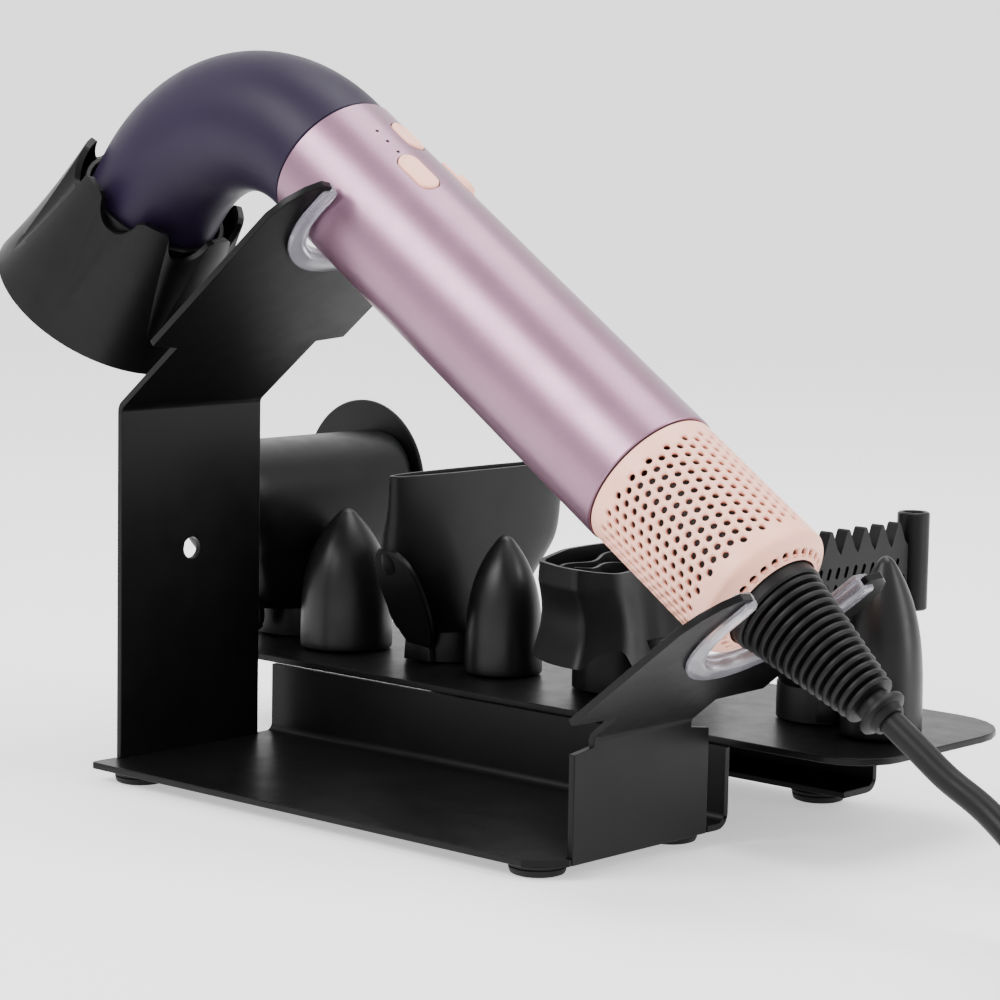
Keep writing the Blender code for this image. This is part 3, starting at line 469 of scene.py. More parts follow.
def oval(cx, cy, z, half_x, half_y, power=2.0, count=96):
    """A rounded rectangle or ellipse at height z: a higher power is squarer."""
    points = []
    for i in range(count):
        c, s = cos(tau * i / count), sin(tau * i / count)
        x = half_x * abs(c) ** (2 / power) * (1 if c >= 0 else -1)
        y = half_y * abs(s) ** (2 / power) * (1 if s >= 0 else -1)
        points.append(Vector((cx + x, cy + y, z)))
    return points


def inset_oval(section, wall):
    """The outline of a section of (cx, cy, z, half x, half y, power), moved in by a wall."""
    cx, cy, z, half_x, half_y, power = section
    return oval(cx, cy, z, half_x - wall, half_y - wall, power)


def eased_sections(keys, per_span=8):
    """Ovals that pass smoothly through key sections of (cx, cy, z, half x, half y, power)."""
    padded = [keys[0]] + list(keys) + [keys[-1]]
    rings = []
    for a, b, c, d in zip(padded, padded[1:], padded[2:], padded[3:]):
        for i in range(per_span):
            t = i / per_span
            values = []
            for p, q, r, s in zip(a, b, c, d):
                values.append(0.5 * (2 * q + (r - p) * t + (2 * p - 5 * q + 4 * r - s) * t * t
                                     + (3 * q - p - 3 * r + s) * t ** 3))
            rings.append(oval(*values))
    rings.append(oval(*keys[-1]))
    return rings


def placed(rings):
    """Rings measured from the tray's corner, in the frame."""
    return [[TRAY_CORNER + p for p in ring] for ring in rings]


def smooth_route(knots, per_span):
    """Points of a Catmull-Rom curve through the knots."""
    ends = [knots[0] * 2 - knots[1]] + knots + [knots[-1] * 2 - knots[-2]]
    points = []
    for a, b, c, d in zip(ends, ends[1:], ends[2:], ends[3:]):
        for i in range(per_span):
            t = i / per_span
            points.append(0.5 * (2 * b + (c - a) * t + (2 * a - 5 * b + 4 * c - d) * t * t
                                 + (3 * b - a - 3 * c + d) * t ** 3))
    points.append(knots[-1])
    return points


def tube_along(bm, points, radius):
    """A round tube whose rings turn as little as they can along the points."""
    sides = 14
    across = None
    rings = []
    for i, point in enumerate(points):
        ahead = (points[min(i + 1, len(points) - 1)] - points[max(i - 1, 0)]).normalized()
        if across is None:
            across = ahead.orthogonal().normalized()
        across = (across - ahead * across.dot(ahead)).normalized()
        rings.append(circle(point, across, ahead.cross(across), radius, sides))
    return skin(bm, rings, caps=(True, True))


# ---------------------------------------------------------------- the cord, its coil, tie and plug
COIL_CENTRE = (0.3465, 0.0300)
COIL_MID_RADIUS = 0.0350
COIL_COLUMNS = 4
COIL_OUTER = COIL_MID_RADIUS + COIL_COLUMNS * CORD_RADIUS
LIE = FLOOR + CORD_RADIUS + 0.0001
COIL_START_ANGLE = radians(30)
TURN_SHIFT = 1 / 3
COIL_TURNS = 10 + (360 - 110) / 360
PLUG_SIZE = (0.0400, 0.0300, 0.0200)
PLUG_AT = (COIL_CENTRE[0] - 0.0100, COIL_CENTRE[1] + COIL_OUTER + 0.0185)


def eased(turn, start):
    """Zero before start, one after a third of a turn, and smooth between."""
    share = min(max((turn - start) / TURN_SHIFT, 0.0), 1.0)
    return (1 - cos(pi * share)) / 2


def coil_point(turn):
    """Three layers of turns: wound in, out and in again, a cord's diameter apart."""
    column = COIL_COLUMNS - eased(turn, -TURN_SHIFT)
    column -= sum(eased(turn, k + 2 * TURN_SHIFT) for k in (0, 1, 2))
    column += sum(eased(turn, k + TURN_SHIFT) for k in (4, 5, 6))
    column -= sum(eased(turn, k) for k in (8, 9, 10))
    layer = eased(turn, 3 + 2 * TURN_SHIFT) + eased(turn, 7 + TURN_SHIFT)
    radius = COIL_MID_RADIUS + (column - (COIL_COLUMNS - 1) / 2) * 2 * CORD_RADIUS
    angle = COIL_START_ANGLE + tau * turn
    x = COIL_CENTRE[0] + radius * cos(angle)
    return on_tray(x, COIL_CENTRE[1] + radius * sin(angle), LIE + layer * 2 * CORD_RADIUS)


def over_coil(angle, radius, rise):
    """A point on top of the coil, rise cord diameters above the lowest layer's middle."""
    cx, cy = COIL_CENTRE
    height = LIE + rise * 2 * CORD_RADIUS
    return on_tray(cx + radius * cos(radians(angle)), cy + radius * sin(radians(angle)), height)


def make_cord(finish):
    """From the dryer's strain relief down to the surface, into its coil, and over it to the plug."""
    cx, cy = COIL_CENTRE
    side = cy - COIL_OUTER - CORD_RADIUS - GAP
    start = tube_point(RELIEF_END + GAP)
    knots = [start, start + ALONG * 0.010, start + ALONG * 0.020, on_tray(0.2620, CENTRE_Y, 0.0235),
             on_tray(0.2740, CENTRE_Y - 0.0020, 0.0155), on_tray(0.2850, CENTRE_Y - 0.0080, 0.0085),
             on_tray(0.2930, CENTRE_Y - 0.0180, 0.0035), on_tray(0.2990, CENTRE_Y - 0.0290, 0.0003),
             on_tray(0.3060, CENTRE_Y - 0.0395, LIE + 0.0003), on_tray(0.3160, side + 0.0065, LIE),
             on_tray(0.3280, side + 0.0012, LIE), on_tray(cx, side, LIE)]
    per_knot, points_a_turn = 6, 40
    route = smooth_route(knots, per_knot)
    total = COIL_TURNS + TURN_SHIFT
    steps = round(total * points_a_turn)
    route += [coil_point(-TURN_SHIFT + total * i / steps) for i in range(1, steps)]
    tail = [coil_point(COIL_TURNS - 0.03), coil_point(COIL_TURNS), over_coil(-55, 0.0285, 2.5),
            over_coil(-30, 0.0345, 3.0), over_coil(-8, 0.0415, 3.0), over_coil(12, 0.0485, 2.9),
            over_coil(28, 0.0555, 2.0), on_tray(cx + 0.0500, cy + 0.0420, FLOOR + 0.0095),
            on_tray(cx + 0.0420, cy + 0.0560, FLOOR + 0.0060),
            on_tray(cx + 0.0300, cy + 0.0640, FLOOR + 0.0075),
            on_tray(PLUG_AT[0] + PLUG_SIZE[0] / 2 + 0.0075, PLUG_AT[1], FLOOR + PLUG_SIZE[2] / 2)]
    route += smooth_route(tail, per_knot)[per_knot:]
    bm = bmesh.new()
    tube_along(bm, route, CORD_RADIUS)
    cord = add_piece("mains_cord", bm, finish, "rubber", None, ("cord_lead", "cord_coil"))
    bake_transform(cord)
    length = sum((b - a).length for a, b in zip(route, route[1:]))
    return cord, route, length


def make_tie(finish):
    """Strap round the whole bundle of turns."""
    angle = radians(200)
    out = Vector((cos(angle), sin(angle), 0))
    along = Vector((-sin(angle), cos(angle), 0))
    middle = on_tray(*COIL_CENTRE, FLOOR) + out * COIL_MID_RADIUS
    half = COIL_COLUMNS * CORD_RADIUS + 0.0004
    top = 6 * CORD_RADIUS + 0.0006
    thick, width, turn = 0.0008, 0.0095, 0.0040
    outline = arc(half - turn, top - turn, turn, turn, 0, pi / 2, 6)
    outline += arc(-half + turn, top - turn, turn, turn, pi / 2, pi, 6)
    outline += arc(-half + turn, turn + 0.0002, turn, turn, pi, 3 * pi / 2, 6)
    outline += arc(half - turn, turn + 0.0002, turn, turn, 3 * pi / 2, tau, 6)
    rings = []
    for shift, grow in ((-width / 2, 0.0), (-width / 2, thick), (width / 2, thick), (width / 2, 0.0)):
        ring = []
        for x, z in outline:
            scale_x = (half + grow) / half
            scale_z = (top / 2 + grow) / (top / 2)
            height = max(top / 2 + (z - top / 2) * scale_z, 0.0001)
            ring.append(middle + out * x * scale_x + Vector((0, 0, height)) + along * shift)
        rings.append(ring)
    bm = bmesh.new()
    skin(bm, rings, loop=True)
    return soften(add_piece("coil_tie", bm, finish, "foot", "stand"), 0.0002)


def make_plug(finish):
    """Flat moulded plug with grip ribs and a ribbed neck round the cord, with two round pins."""
    half_x, half_y, half_z = (size / 2 for size in PLUG_SIZE)
    centre = on_tray(PLUG_AT[0], PLUG_AT[1], FLOOR + half_z)
    bm = bmesh.new()
    rings = []
    section = oval(0, 0, 0, half_y, half_z, 4.0, 48)
    stations = ((-half_x, 0.90), (-half_x + 0.0006, 0.97), (-half_x + 0.0020, 1.0), (-0.0040, 1.0),
                (0.0060, 0.96), (0.0130, 0.80), (0.0165, 0.62), (0.0180, 0.50), (half_x, 0.42))
    for x, scale in stations:
        rings.append([centre + Vector((x, p.x * scale, p.y * scale)) for p in section])
    skin(bm, rings, caps=(True, True))
    for i in range(5):
        place = Matrix.Translation(centre + Vector((0.0026 * i - 0.0095, 0, half_z - 0.0006)))
        flat_prism(bm, round_outline(0.0006, 0.0080, 16), -0.0004, 0.0009, place)
    neck = [(0.0, 0.0)]
    ribs = 4
    for i in range(ribs):
        low = 0.0016 * i
        neck += [(0.0056 - 0.0004 * i, low), (0.0056 - 0.0004 * i, low + 0.0009), (0.0042, low + 0.0010),
                 (0.0042, low + 0.0016)]
    neck += [(0.0042, 0.0075), (CORD_RADIUS + 0.0001, 0.0075), (CORD_RADIUS + 0.0001, 0.0055), (0.0, 0.0055)]
    lathe(neck, centre + Vector((half_x - 0.0002, 0, 0)), Vector((1, 0, 0)), Vector((0, 1, 0)), 32, bm=bm)
    plug = add_piece("mains_plug", bm, finish, "rubber", "stand", ("plug",))
    pins = []
    for name in ("plug_pin_1", "plug_pin_2"):
        low, high = box_of(name)
        middle = (low + high) / 2
        radius, length = (high.y - low.y) / 2, high.x - low.x
        profile = rounded([(0, 0), (radius, 0), (radius, length), (0, length)], 0.0008)
        bm = lathe(profile, Vector((high.x, middle.y, middle.z)), Vector((-1, 0, 0)), Vector((0, 1, 0)), 40)
        pins.append(add_piece(name + "_turned", bm, finish, "edge", "stand", (name,)))
    return [plug] + pins


# ---------------------------------------------------------------- the dryer
def make_head(finish):
    """Bent tube with a wall and softly rounded lips."""
    steps, sides, wall, edge = 56, 112, 0.0016, 0.0004
    path = [(tube_point(SEAM_AT), -ALONG), (tube_point(SEAM_AT) - ALONG * edge, -ALONG)]
    path += [(tube_point(SEAM_AT + (HEAD_ARC_AT - SEAM_AT) * k / 3), -ALONG) for k in (1, 2)]
    path += [(*head_point(HEAD_BEND * i / steps),) for i in range(steps + 1)]
    end, heading = path[-1]
    path += [(end + heading * (HEAD_STRAIGHT - edge), heading), (end + heading * HEAD_STRAIGHT, heading)]
    radii = [HEAD_RADIUS] * len(path)
    radii[0] = radii[-1] = HEAD_RADIUS - edge
    rings = []
    for (centre, forward), radius in zip(path, radii):
        rings.append(circle(centre, forward.cross(ACROSS), ACROSS, radius, sides))
    for centre, forward in reversed(path[1:-1]):
        rings.append(circle(centre, forward.cross(ACROSS), ACROSS, HEAD_RADIUS - wall, sides))
    bm = bmesh.new()
    skin(bm, rings, loop=True)
    add_piece("head_skin", bm, finish, "head", "dryer", ("head_shell",))


# place along the handle, angle round it from the top, half length, half width
BUTTONS = {"airflow_button": (-0.0076, radians(9), 0.0056, 0.0029),
           "temperature_button": (0.0072, radians(-16.5), 0.0068, 0.0029),
           "power_slider": (0.0062, radians(38), 0.0066, 0.0025)}
SLIDER_TRAVEL = 0.0024
LIGHTS = (-0.0107, -0.0062, -0.0016)
LIGHT_ANGLE = radians(-16.4)
LIGHT_RADIUS = 0.00050


def button_frame(t, angle):
    """Local Z points out of the handle's surface, local X along the handle."""
    out = LIFT * cos(angle) + ACROSS * sin(angle)
    matrix = Matrix((ALONG, out.cross(ALONG), out)).transposed().to_4x4()
    matrix.translation = tube_point(t)
    return matrix


def pill_outline(half_length, half_width):
    """A run between two half rounds."""
    run, steps = half_length - half_width, 12
    return (arc(run, 0, half_width, half_width, -pi / 2, pi / 2, steps)
            + arc(-run, 0, half_width, half_width, pi / 2, 3 * pi / 2, steps))


def make_handle(finish):
    """Lacquered tube with openings for the keys and three pinholes for indicator lights."""
    edge = 0.0003
    low, high = SEAM_AT + GAP, CAGE_AT - GAP
    inner = TUBE_RADIUS - TUBE_WALL
    profile = [(inner, low), (TUBE_RADIUS - edge, low), (TUBE_RADIUS, low + edge)]
    profile += [(TUBE_RADIUS, low + edge + (high - low - 2 * edge) * i / 6) for i in range(1, 6)]
    profile += [(TUBE_RADIUS, high - edge), (TUBE_RADIUS - edge, high), (inner, high)]
    tube = add_piece("handle_lacquered_tube", lathe(profile, AXIS_POINT, ALONG, -LIFT, 160, loop=True),
                     finish, "handle", "dryer", ("handle_tube",))
    bm = bmesh.new()
    clear, below_wall, above_wall = 0.00035, 0.012, 0.024
    for name, (t, angle, half_length, half_width) in BUTTONS.items():
        travel = SLIDER_TRAVEL if name == "power_slider" else 0.0
        outline = pill_outline(half_length + clear + travel / 2, half_width + clear)
        flat_prism(bm, outline, below_wall, above_wall, button_frame(t + travel / 2, angle))
    for t in LIGHTS:
        place = button_frame(t, LIGHT_ANGLE)
        flat_prism(bm, round_outline(LIGHT_RADIUS, LIGHT_RADIUS, 12), TUBE_RADIUS - 0.0008, 0.021, place)
    cut_with(tube, bm, "openings")


def make_keys(finish):
    """Pill-shaped keys that follow the handle's curve, with a rounded rim and a shallow dish."""
    rim, dish, depth = 0.00045, 0.00018, 0.0030
    for name, (t, angle, half_length, half_width) in BUTTONS.items():
        top = TUBE_RADIUS + (0.0008 if name == "power_slider" else 0.0006)
        place = button_frame(t, angle)
        levels = [(0.0, TUBE_RADIUS - depth), (0.0, top - rim), (rim * 0.3, top - rim * 0.3), (rim, top),
                  (rim * 1.9, top), (rim * 2.5, top - dish), (half_width * 0.75, top - dish)]
        rings = []
        for inset, height in levels:
            ring = []
            for x, y in pill_outline(half_length - inset, half_width - inset):
                sag = TUBE_RADIUS - (TUBE_RADIUS ** 2 - y * y) ** 0.5 if height > TUBE_RADIUS - 0.0020 else 0
                ring.append(place @ Vector((x, y, height - sag)))
            rings.append(ring)
        bm = bmesh.new()
        skin(bm, rings, caps=(True, True))
        if name == "power_slider":
            thumb = place @ Matrix.Translation((half_length * 0.42, 0, top - dish - 0.0002))
            flat_prism(bm, pill_outline(half_length * 0.46, half_width * 0.82), 0, 0.0012, thumb, 0.0004)
            for k in (-1, 0, 1):
                rib = thumb @ Matrix.Translation((0.0011 * k, 0, 0.0011))
                flat_prism(bm, round_outline(0.00022, 0.0011, 12), 0, 0.0003, rib)
        add_piece(name + "_key", bm, finish, "peach", name, (name,), angle=50)


HOLE_LINES = 42
HOLE_ROWS = 11
HOLE_PITCH = 0.00297
HOLE_RADIUS = 0.00093
HOLES_AT = 0.1120
END_HOLES = 28
END_HOLE_RADIUS = 0.0011


def bridge(bm, border, hole):
    """Fill between a border of n points and a hole's ring of 2n points."""
    count = len(border)
    for k in range(count):
        here, ahead = border[k], border[(k + 1) % count]
        a, b, c = hole[2 * k], hole[2 * k + 1], hole[(2 * k + 2) % (2 * count)]
        bm.faces.new((here, b, a))
        bm.faces.new((here, ahead, b))
        bm.faces.new((ahead, c, b))


def make_cage(finish):
    """Peach cage: staggered round holes in lines along it, and a ring of holes in its coned end."""
    bm = bmesh.new()
    half_columns = 2 * HOLE_LINES
    grid = {}

    def wall_point(column, t, radius=CAGE_RADIUS):
        return tube_point(t, radius, tau * column / half_columns)

    def node(column, row):
        key = (column % half_columns, row)
        if key not in grid:
            grid[key] = bm.verts.new(wall_point(key[0], HOLES_AT + row * HOLE_PITCH / 2))
        return grid[key]

    for line in range(HOLE_LINES):
        middle = 2 * line
        odd = line % 2
        for k in range(HOLE_ROWS):
            row = 2 * k + 1 + odd
            border = [node(middle + i, row + j) for i, j in
                      ((1, 0), (1, 1), (0, 1), (-1, 1), (-1, 0), (-1, -1), (0, -1), (1, -1))]
            hole = []
            for i in range(16):
                angle = tau * i / 16
                shift = HOLE_RADIUS * cos(angle) / CAGE_RADIUS * half_columns / tau
                t = HOLES_AT + row * HOLE_PITCH / 2 + HOLE_RADIUS * sin(angle)
                hole.append(bm.verts.new(wall_point(middle + shift, t)))
            bridge(bm, border, hole)
        row = 0 if odd else 2 * HOLE_ROWS
        for i in (-1, 0):
            bm.faces.new((node(middle + i, row), node(middle + i + 1, row), node(middle + i + 1, row + 1),
                          node(middle + i, row + 1)))

    def ring_at(radius, t):
        return [bm.verts.new(wall_point(i, t, radius)) for i in range(half_columns)]

    def join(first, second):
        for i in range(half_columns):
            j = (i + 1) % half_columns
            bm.faces.new((first[i], first[j], second[j], second[i]))

    start = [node(i, 0) for i in range(half_columns)]
    for radius, t in ((CAGE_RADIUS, HOLES_AT - 0.0015), (CAGE_RADIUS, CAGE_AT + 0.0005),
                      (CAGE_RADIUS - 0.0002, CAGE_AT + 0.0001), (CAGE_RADIUS - 0.0005, CAGE_AT)):
        following = ring_at(radius, t)
        join(following, start)
        start = following
    end = [node(i, 2 * HOLE_ROWS + 1) for i in range(half_columns)]
    cone_out, cone_in = (0.01575, 0.15155), (0.01315, 0.15300)
    shoulder = [(CAGE_RADIUS - inset, CAGE_SHOULDER + rise) for inset, rise in
                ((0, -0.0012), (0, -0.0002), (0.0003, 0.0004), (0.0009, 0.0009), (0.0018, 0.0014))]
    for radius, t in shoulder + [cone_out]:
        following = ring_at(radius, t)
        join(end, following)
        end = following
    inner = ring_at(*cone_in)
    step = half_columns // END_HOLES
    mid_radius, mid_t = (cone_out[0] + cone_in[0]) / 2, (cone_out[1] + cone_in[1]) / 2
    slope = Vector((cone_in[0] - cone_out[0], cone_in[1] - cone_out[1])).normalized()
    sides = [bm.verts.new(wall_point(step * i, mid_t, mid_radius)) for i in range(END_HOLES)]
    for i in range(END_HOLES):
        first = step * i
        outer_run = [end[(first + k) % half_columns] for k in range(step + 1)]
        inner_run = [inner[(first + k) % half_columns] for k in range(step + 1)]
        border = [sides[i]] + outer_run + [sides[(i + 1) % END_HOLES]] + inner_run[::-1]
        count = 2 * len(border)
        hole = []
        for k in range(count):
            angle = pi - tau * k / count
            along_cone = -END_HOLE_RADIUS * sin(angle)
            column = first + step / 2 + END_HOLE_RADIUS * cos(angle) / mid_radius * half_columns / tau
            hole.append(bm.verts.new(wall_point(column, mid_t + slope.y * along_cone,
                                                mid_radius + slope.x * along_cone)))
        bridge(bm, border, hole)
    lip = inner
    for radius, t in ((0.01290, 0.15305), (0.01280, 0.15290), (0.01280, 0.15180)):
        following = ring_at(radius, t)
        join(lip, following)
        lip = following
    cage = add_piece("cage_perforated", bm, finish, "peach", "filter_cage", ("filter_cage",))
    wall = cage.modifiers.new("wall", "SOLIDIFY")
    wall.thickness = 0.0011
    wall.offset = -1
    wall.use_even_offset = False


def make_relief(finish):
    """Ribbed taper with a collar at the cage and a thin flange at its tip."""
    base = CAGE_END - 0.0050
    profile = [(0, base), (RELIEF_COLLAR, base), (RELIEF_COLLAR, RELIEF_AT + 0.0018),
               (RELIEF_COLLAR - 0.0005, RELIEF_AT + 0.0023)]
    ribs, first, last = 14, RELIEF_AT + 0.0034, RELIEF_END - 0.0062
    rib_wide, rib_narrow, root_wide, root_narrow, edge = 0.0118, 0.0066, 0.0088, 0.0042, 0.0002
    pitch = (last - first) / (ribs - 1)
    half = pitch * 0.29
    for i in range(ribs):
        at = first + pitch * i
        share = i / (ribs - 1)
        rib = rib_wide + (rib_narrow - rib_wide) * share
        root = root_wide + (root_narrow - root_wide) * share
        profile += [(root, at - half * 1.35), (rib - edge, at - half), (rib, at - half * 0.5),
                    (rib, at + half * 0.5), (rib - edge, at + half), (root, at + half * 1.35)]
    flange = ((0.0045, -0.0045), (0.0043, -0.0026), (0.0060, -0.0023), (0.0062, -0.0019), (0.0062, -0.0012),
              (0.0058, -0.0008), (0.0046, -0.0005), (0.0040, 0.0012), (CORD_RADIUS + 0.0001, 0.0013),
              (CORD_RADIUS + 0.0001, 0), (0, 0))
    profile += [(radius, RELIEF_END + rise) for radius, rise in flange]
    bm = lathe(profile, AXIS_POINT, ALONG, -LIFT, 72)
    add_piece("relief_ribbed", bm, finish, "rubber", "dryer", ("strain_relief",), angle=40)


# ---------------------------------------------------------------- clear liners in the cradles
LEAN = radians(38.7)
CRADLE_SIDE = 0.0196
CRADLE_DEPTH = 0.0214
LINER_WALL = 0.0014
FLANGE_WIDTH = 0.004
BASE_LENGTH = 0.164
REAR_CRADLE = ("rear_cradle_liner", 0.0, 0.0956, 0.0055)
FRONT_CRADLE = ("front_cradle_liner", BASE_LENGTH - SHEET, 0.0283, 0.0085)


def make_liner(node, x, bend_height, arm, finish):
    """Clear channel pressed over the cradle's edge, with rounded lips and a small step inside."""
    rise = Vector((cos(LEAN), 0, sin(LEAN)))
    normal = Vector((-sin(LEAN), 0, cos(LEAN)))
    plate = on_tray(x + SHEET / 2, CENTRE_Y, bend_height)
    reach = (plate - AXIS_POINT).dot(normal) / ALONG.dot(normal)
    middle = plate + rise * (tube_point(reach) - plate).length
    slot = SHEET / 2 + GAP
    wide = slot + 0.0011
    lip = LINER_WALL + FLANGE_WIDTH
    section = [(0.0003, -wide + 0.0006), (0, -wide + 0.0012), (0, -0.0004), (0.00025, 0), (0, 0.0004),
               (0, wide - 0.0012), (0.0003, wide - 0.0006), (0.0009, wide), (lip - 0.0004, wide),
               (lip, wide - 0.0003), (lip, slot), (LINER_WALL, slot), (LINER_WALL, -slot), (lip, -slot),
               (lip, -wide + 0.0003), (lip - 0.0004, -wide), (0.0009, -wide)]
    stations = [((CRADLE_SIDE, arm + 0.0008 - 0.0008 * k), (1, 0), 0.86 if k == 0 else 1.0) for k in (0, 1)]
    steps = 56
    for i in range(steps + 1):
        angle = -pi * i / steps
        out = Vector((cos(angle) / CRADLE_SIDE, sin(angle) / CRADLE_DEPTH)).normalized()
        stations.append(((CRADLE_SIDE * cos(angle), CRADLE_DEPTH * sin(angle)), (out.x, out.y), 1.0))
    stations += [((-CRADLE_SIDE, arm + 0.0008 * k), (-1, 0), 0.86 if k == 1 else 1.0) for k in (0, 1)]
    rings = []
    for (side, up), (out_side, out_up), scale in stations:
        centre = middle + rise * up + ACROSS * side
        outward = rise * out_up + ACROSS * out_side
        rings.append([centre + outward * (lip / 2 + (out - lip / 2) * scale) + normal * across * scale
                      for out, across in section])
    bm = bmesh.new()
    skin(bm, rings, caps=(True, True))
    bmesh.ops.triangulate(bm, faces=[face for face in bm.faces if len(face.verts) > 4])
    name = node.replace("_liner", "_channel")
    add_piece(name, bm, finish, "clear", "stand", (node,), angle=40)


# ---------------------------------------------------------------- the diffuser
FINGERS = 7
FINGER_TURN = radians(15.5)
FINGER_RADIUS = 0.0243
RIM_AT = 0.0415
RIM_RADIUS = 0.0318
FINGER_TOP = 0.0006
SCALLOP_BOTTOM = 0.0085
FLUTE_END = 0.0345
GAP_HALF = radians(15.2)
FLUTE_DEPTH = 0.0030


def bowl_radius(height):
    """Outer radius of the bowl: nearly straight fingers, then a widening mouth."""
    share = min(max((height - FINGER_TOP) / (RIM_AT - FINGER_TOP), 0), 1)
    return FINGER_RADIUS + (RIM_RADIUS - FINGER_RADIUS) * (0.62 * share + 0.38 * share ** 2.2)


def make_diffuser(finish):
    """Bowl with seven fingers; crisp-edged flutes run down from the gaps between them and fade out."""
    gap_steps, finger_steps, rows = 14, 12, 40
    wall, corner, tip_edge, flute_foot = 0.0017, 0.0010, 0.00035, radians(0.8)
    columns = [("gap", sin(pi / 2 * k / gap_steps)) for k in range(-gap_steps, gap_steps + 1)]
    columns += [("finger", k / finger_steps) for k in range(1, finger_steps)]
    lines = []
    for finger in range(FINGERS):
        centre = tau * (finger + 0.5) / FINGERS + FINGER_TURN
        for kind, place in columns:
            if kind == "finger":
                nearest = min(place, 1 - place) * finger_steps
                top = FINGER_TOP + (tip_edge if nearest < 1.5 else 0.0)
            elif abs(place) > 0.999:
                top = FINGER_TOP + corner
            else:
                top = FINGER_TOP + (SCALLOP_BOTTOM - FINGER_TOP) * max(1 - abs(place) ** 2.6, 0.0) ** 0.5
            outer, inner = [], []
            for row in range(rows + 1):
                height = top + (RIM_AT - top) * row / rows
                run = min(max((height - FINGER_TOP) / (FLUTE_END - FINGER_TOP), 0), 1)
                half = GAP_HALF * (1 - run) + flute_foot * run
                radius = bowl_radius(height)
                if kind == "gap":
                    azimuth = centre + half * place
                    radius -= FLUTE_DEPTH * (1 - run) ** 1.15 * (1 - place * place)
                else:
                    azimuth = centre + half + (tau / FINGERS - 2 * half) * place
                outer.append(outlet_point(height, radius, azimuth))
                inner.append(outlet_point(height, radius - wall, azimuth))
            lines.append(outer + inner[::-1])
    bm = bmesh.new()
    skin(bm, lines, loop=True)
    collar_in, web = HEAD_RADIUS + 0.0006, HEAD_STRAIGHT + GAP
    collar_out, collar_top, web_bore, edge = collar_in + 0.0018, 0.0062, 0.0140, 0.0004
    profile = [(collar_out - edge, collar_top), (collar_out, collar_top + edge), (collar_out, web - 0.0012),
               (0.0230, web), (0.0236, web + 0.0018), (web_bore + 0.0005, web + 0.0018),
               (web_bore, web + 0.0014), (web_bore, web), (collar_in, web), (collar_in, collar_top + edge),
               (collar_in + edge, collar_top)]
    lathe(profile, OUTLET, HEADING, OUTLET_X, 120, loop=True, bm=bm)
    bowl = add_piece("diffuser_fluted_bowl", bm, finish, "nozzle", "diffuser", ("diffuser_bowl",), angle=24)
    soften(bowl, 0.00022, 2, 40)


def make_diffuser_plate(finish):
    """Perforated plate across the bowl: rings of round air holes round an open middle."""
    low, high = box_of("diffuser_plate")
    middle = (low + high) / 2
    height = (middle - OUTLET).dot(HEADING)
    inner, outer, thick = 0.0060, 0.0238, 0.0016
    profile = rounded([(outer, height), (outer, height + thick / 2), (inner, height + thick / 2),
                       (inner, height - thick / 2), (outer, height - thick / 2), (outer, height)], 0.0003)
    plate = add_piece("diffuser_air_plate", lathe(profile[:-1], OUTLET, HEADING, OUTLET_X, 96, loop=True),
                      finish, "nozzle", "diffuser", ("diffuser_plate",))
    bm = bmesh.new()
    hole_radius, reach = 0.00125, 0.003
    for ring_radius, count in ((0.0095, 12), (0.0140, 18), (0.0190, 24)):
        for i in range(count):
            centre = outlet_point(height - reach, ring_radius, tau * i / count)
            ring = circle(centre, OUTLET_X, OUTLET_Y, hole_radius, 14)
            skin(bm, [ring, [p + HEADING * 2 * reach for p in ring]], caps=(True, True))
    cut_with(plate, bm, "air_holes")


# ---------------------------------------------------------------- pegs and feet
PEG_FULLNESS = 3.6


def make_pegs(finish):
    """Bullet-shaped posts with a fine chamfer at the foot and a rounded tip."""
    for number in range(1, 5):
        node = "peg_%d" % number
        foot, radius, height = round_post(node)
        blunt = 0.0022
        neck = height * (1 - blunt / radius) ** (1 / PEG_FULLNESS)
        cap = blunt * height / (2 * PEG_FULLNESS * radius)
        scale = height / (neck + cap)
        profile = [(0, 0), (radius - 0.0006, 0), (radius - 0.0001, 0.0005)]
        steps = 44
        for i in range(steps + 1):
            level = 0.0009 / height + (neck / height - 0.0009 / height) * sin(pi / 2 * i / steps)
            profile.append((radius * (1 - level ** PEG_FULLNESS), level * height * scale))
        cap_steps = 10
        for i in range(1, cap_steps + 1):
            share = 1 - i / cap_steps
            profile.append((blunt * share, (neck + cap * (1 - share ** 2)) * scale))
        bm = lathe(profile, foot, UP, SIDEWAYS, 96)
        add_piece("bullet_post_%d" % number, bm, finish, "peg", "stand", (node,), angle=50)


def make_feet(finish):
    """Round rubber feet with a softened rim, a groove and a moulded dimple."""
    for place in ("front_left", "front_right", "middle_left", "middle_right", "rear_left", "rear_right"):
        node = "foot_" + place
        foot, radius, height = round_post(node)
        dimple = [(0, 0.0005), (0.0022, 0.0005), (0.0026, 0)]
        rim = [(radius - 0.0016, 0), (radius - 0.0008, 0.0003), (radius - 0.0005, 0.0009)]
        groove = [(radius - 0.0003, height * 0.55), (radius - 0.0006, height * 0.62),
                  (radius - 0.0002, height * 0.72)]
        top = [(radius, height - 0.0003), (radius - 0.0003, height), (0, height)]
        bm = lathe(dimple + rim + groove + top, foot, UP, SIDEWAYS, 64)
        add_piece(node + "_pad", bm, finish, "foot", "stand", (node,), angle=30)


# ---------------------------------------------------------------- nozzles on the shelf
COLLAR_RADIUS = 0.0130
COLLAR_WALL = 0.0018
COLLAR_HEIGHT = 0.0100
SOCKET_DEPTH = 0.0060


def above_shelf(height):
    """Height above the tray of a level inside a nozzle that stands on the shelf."""
    return SHELF_TOP + GAP + height


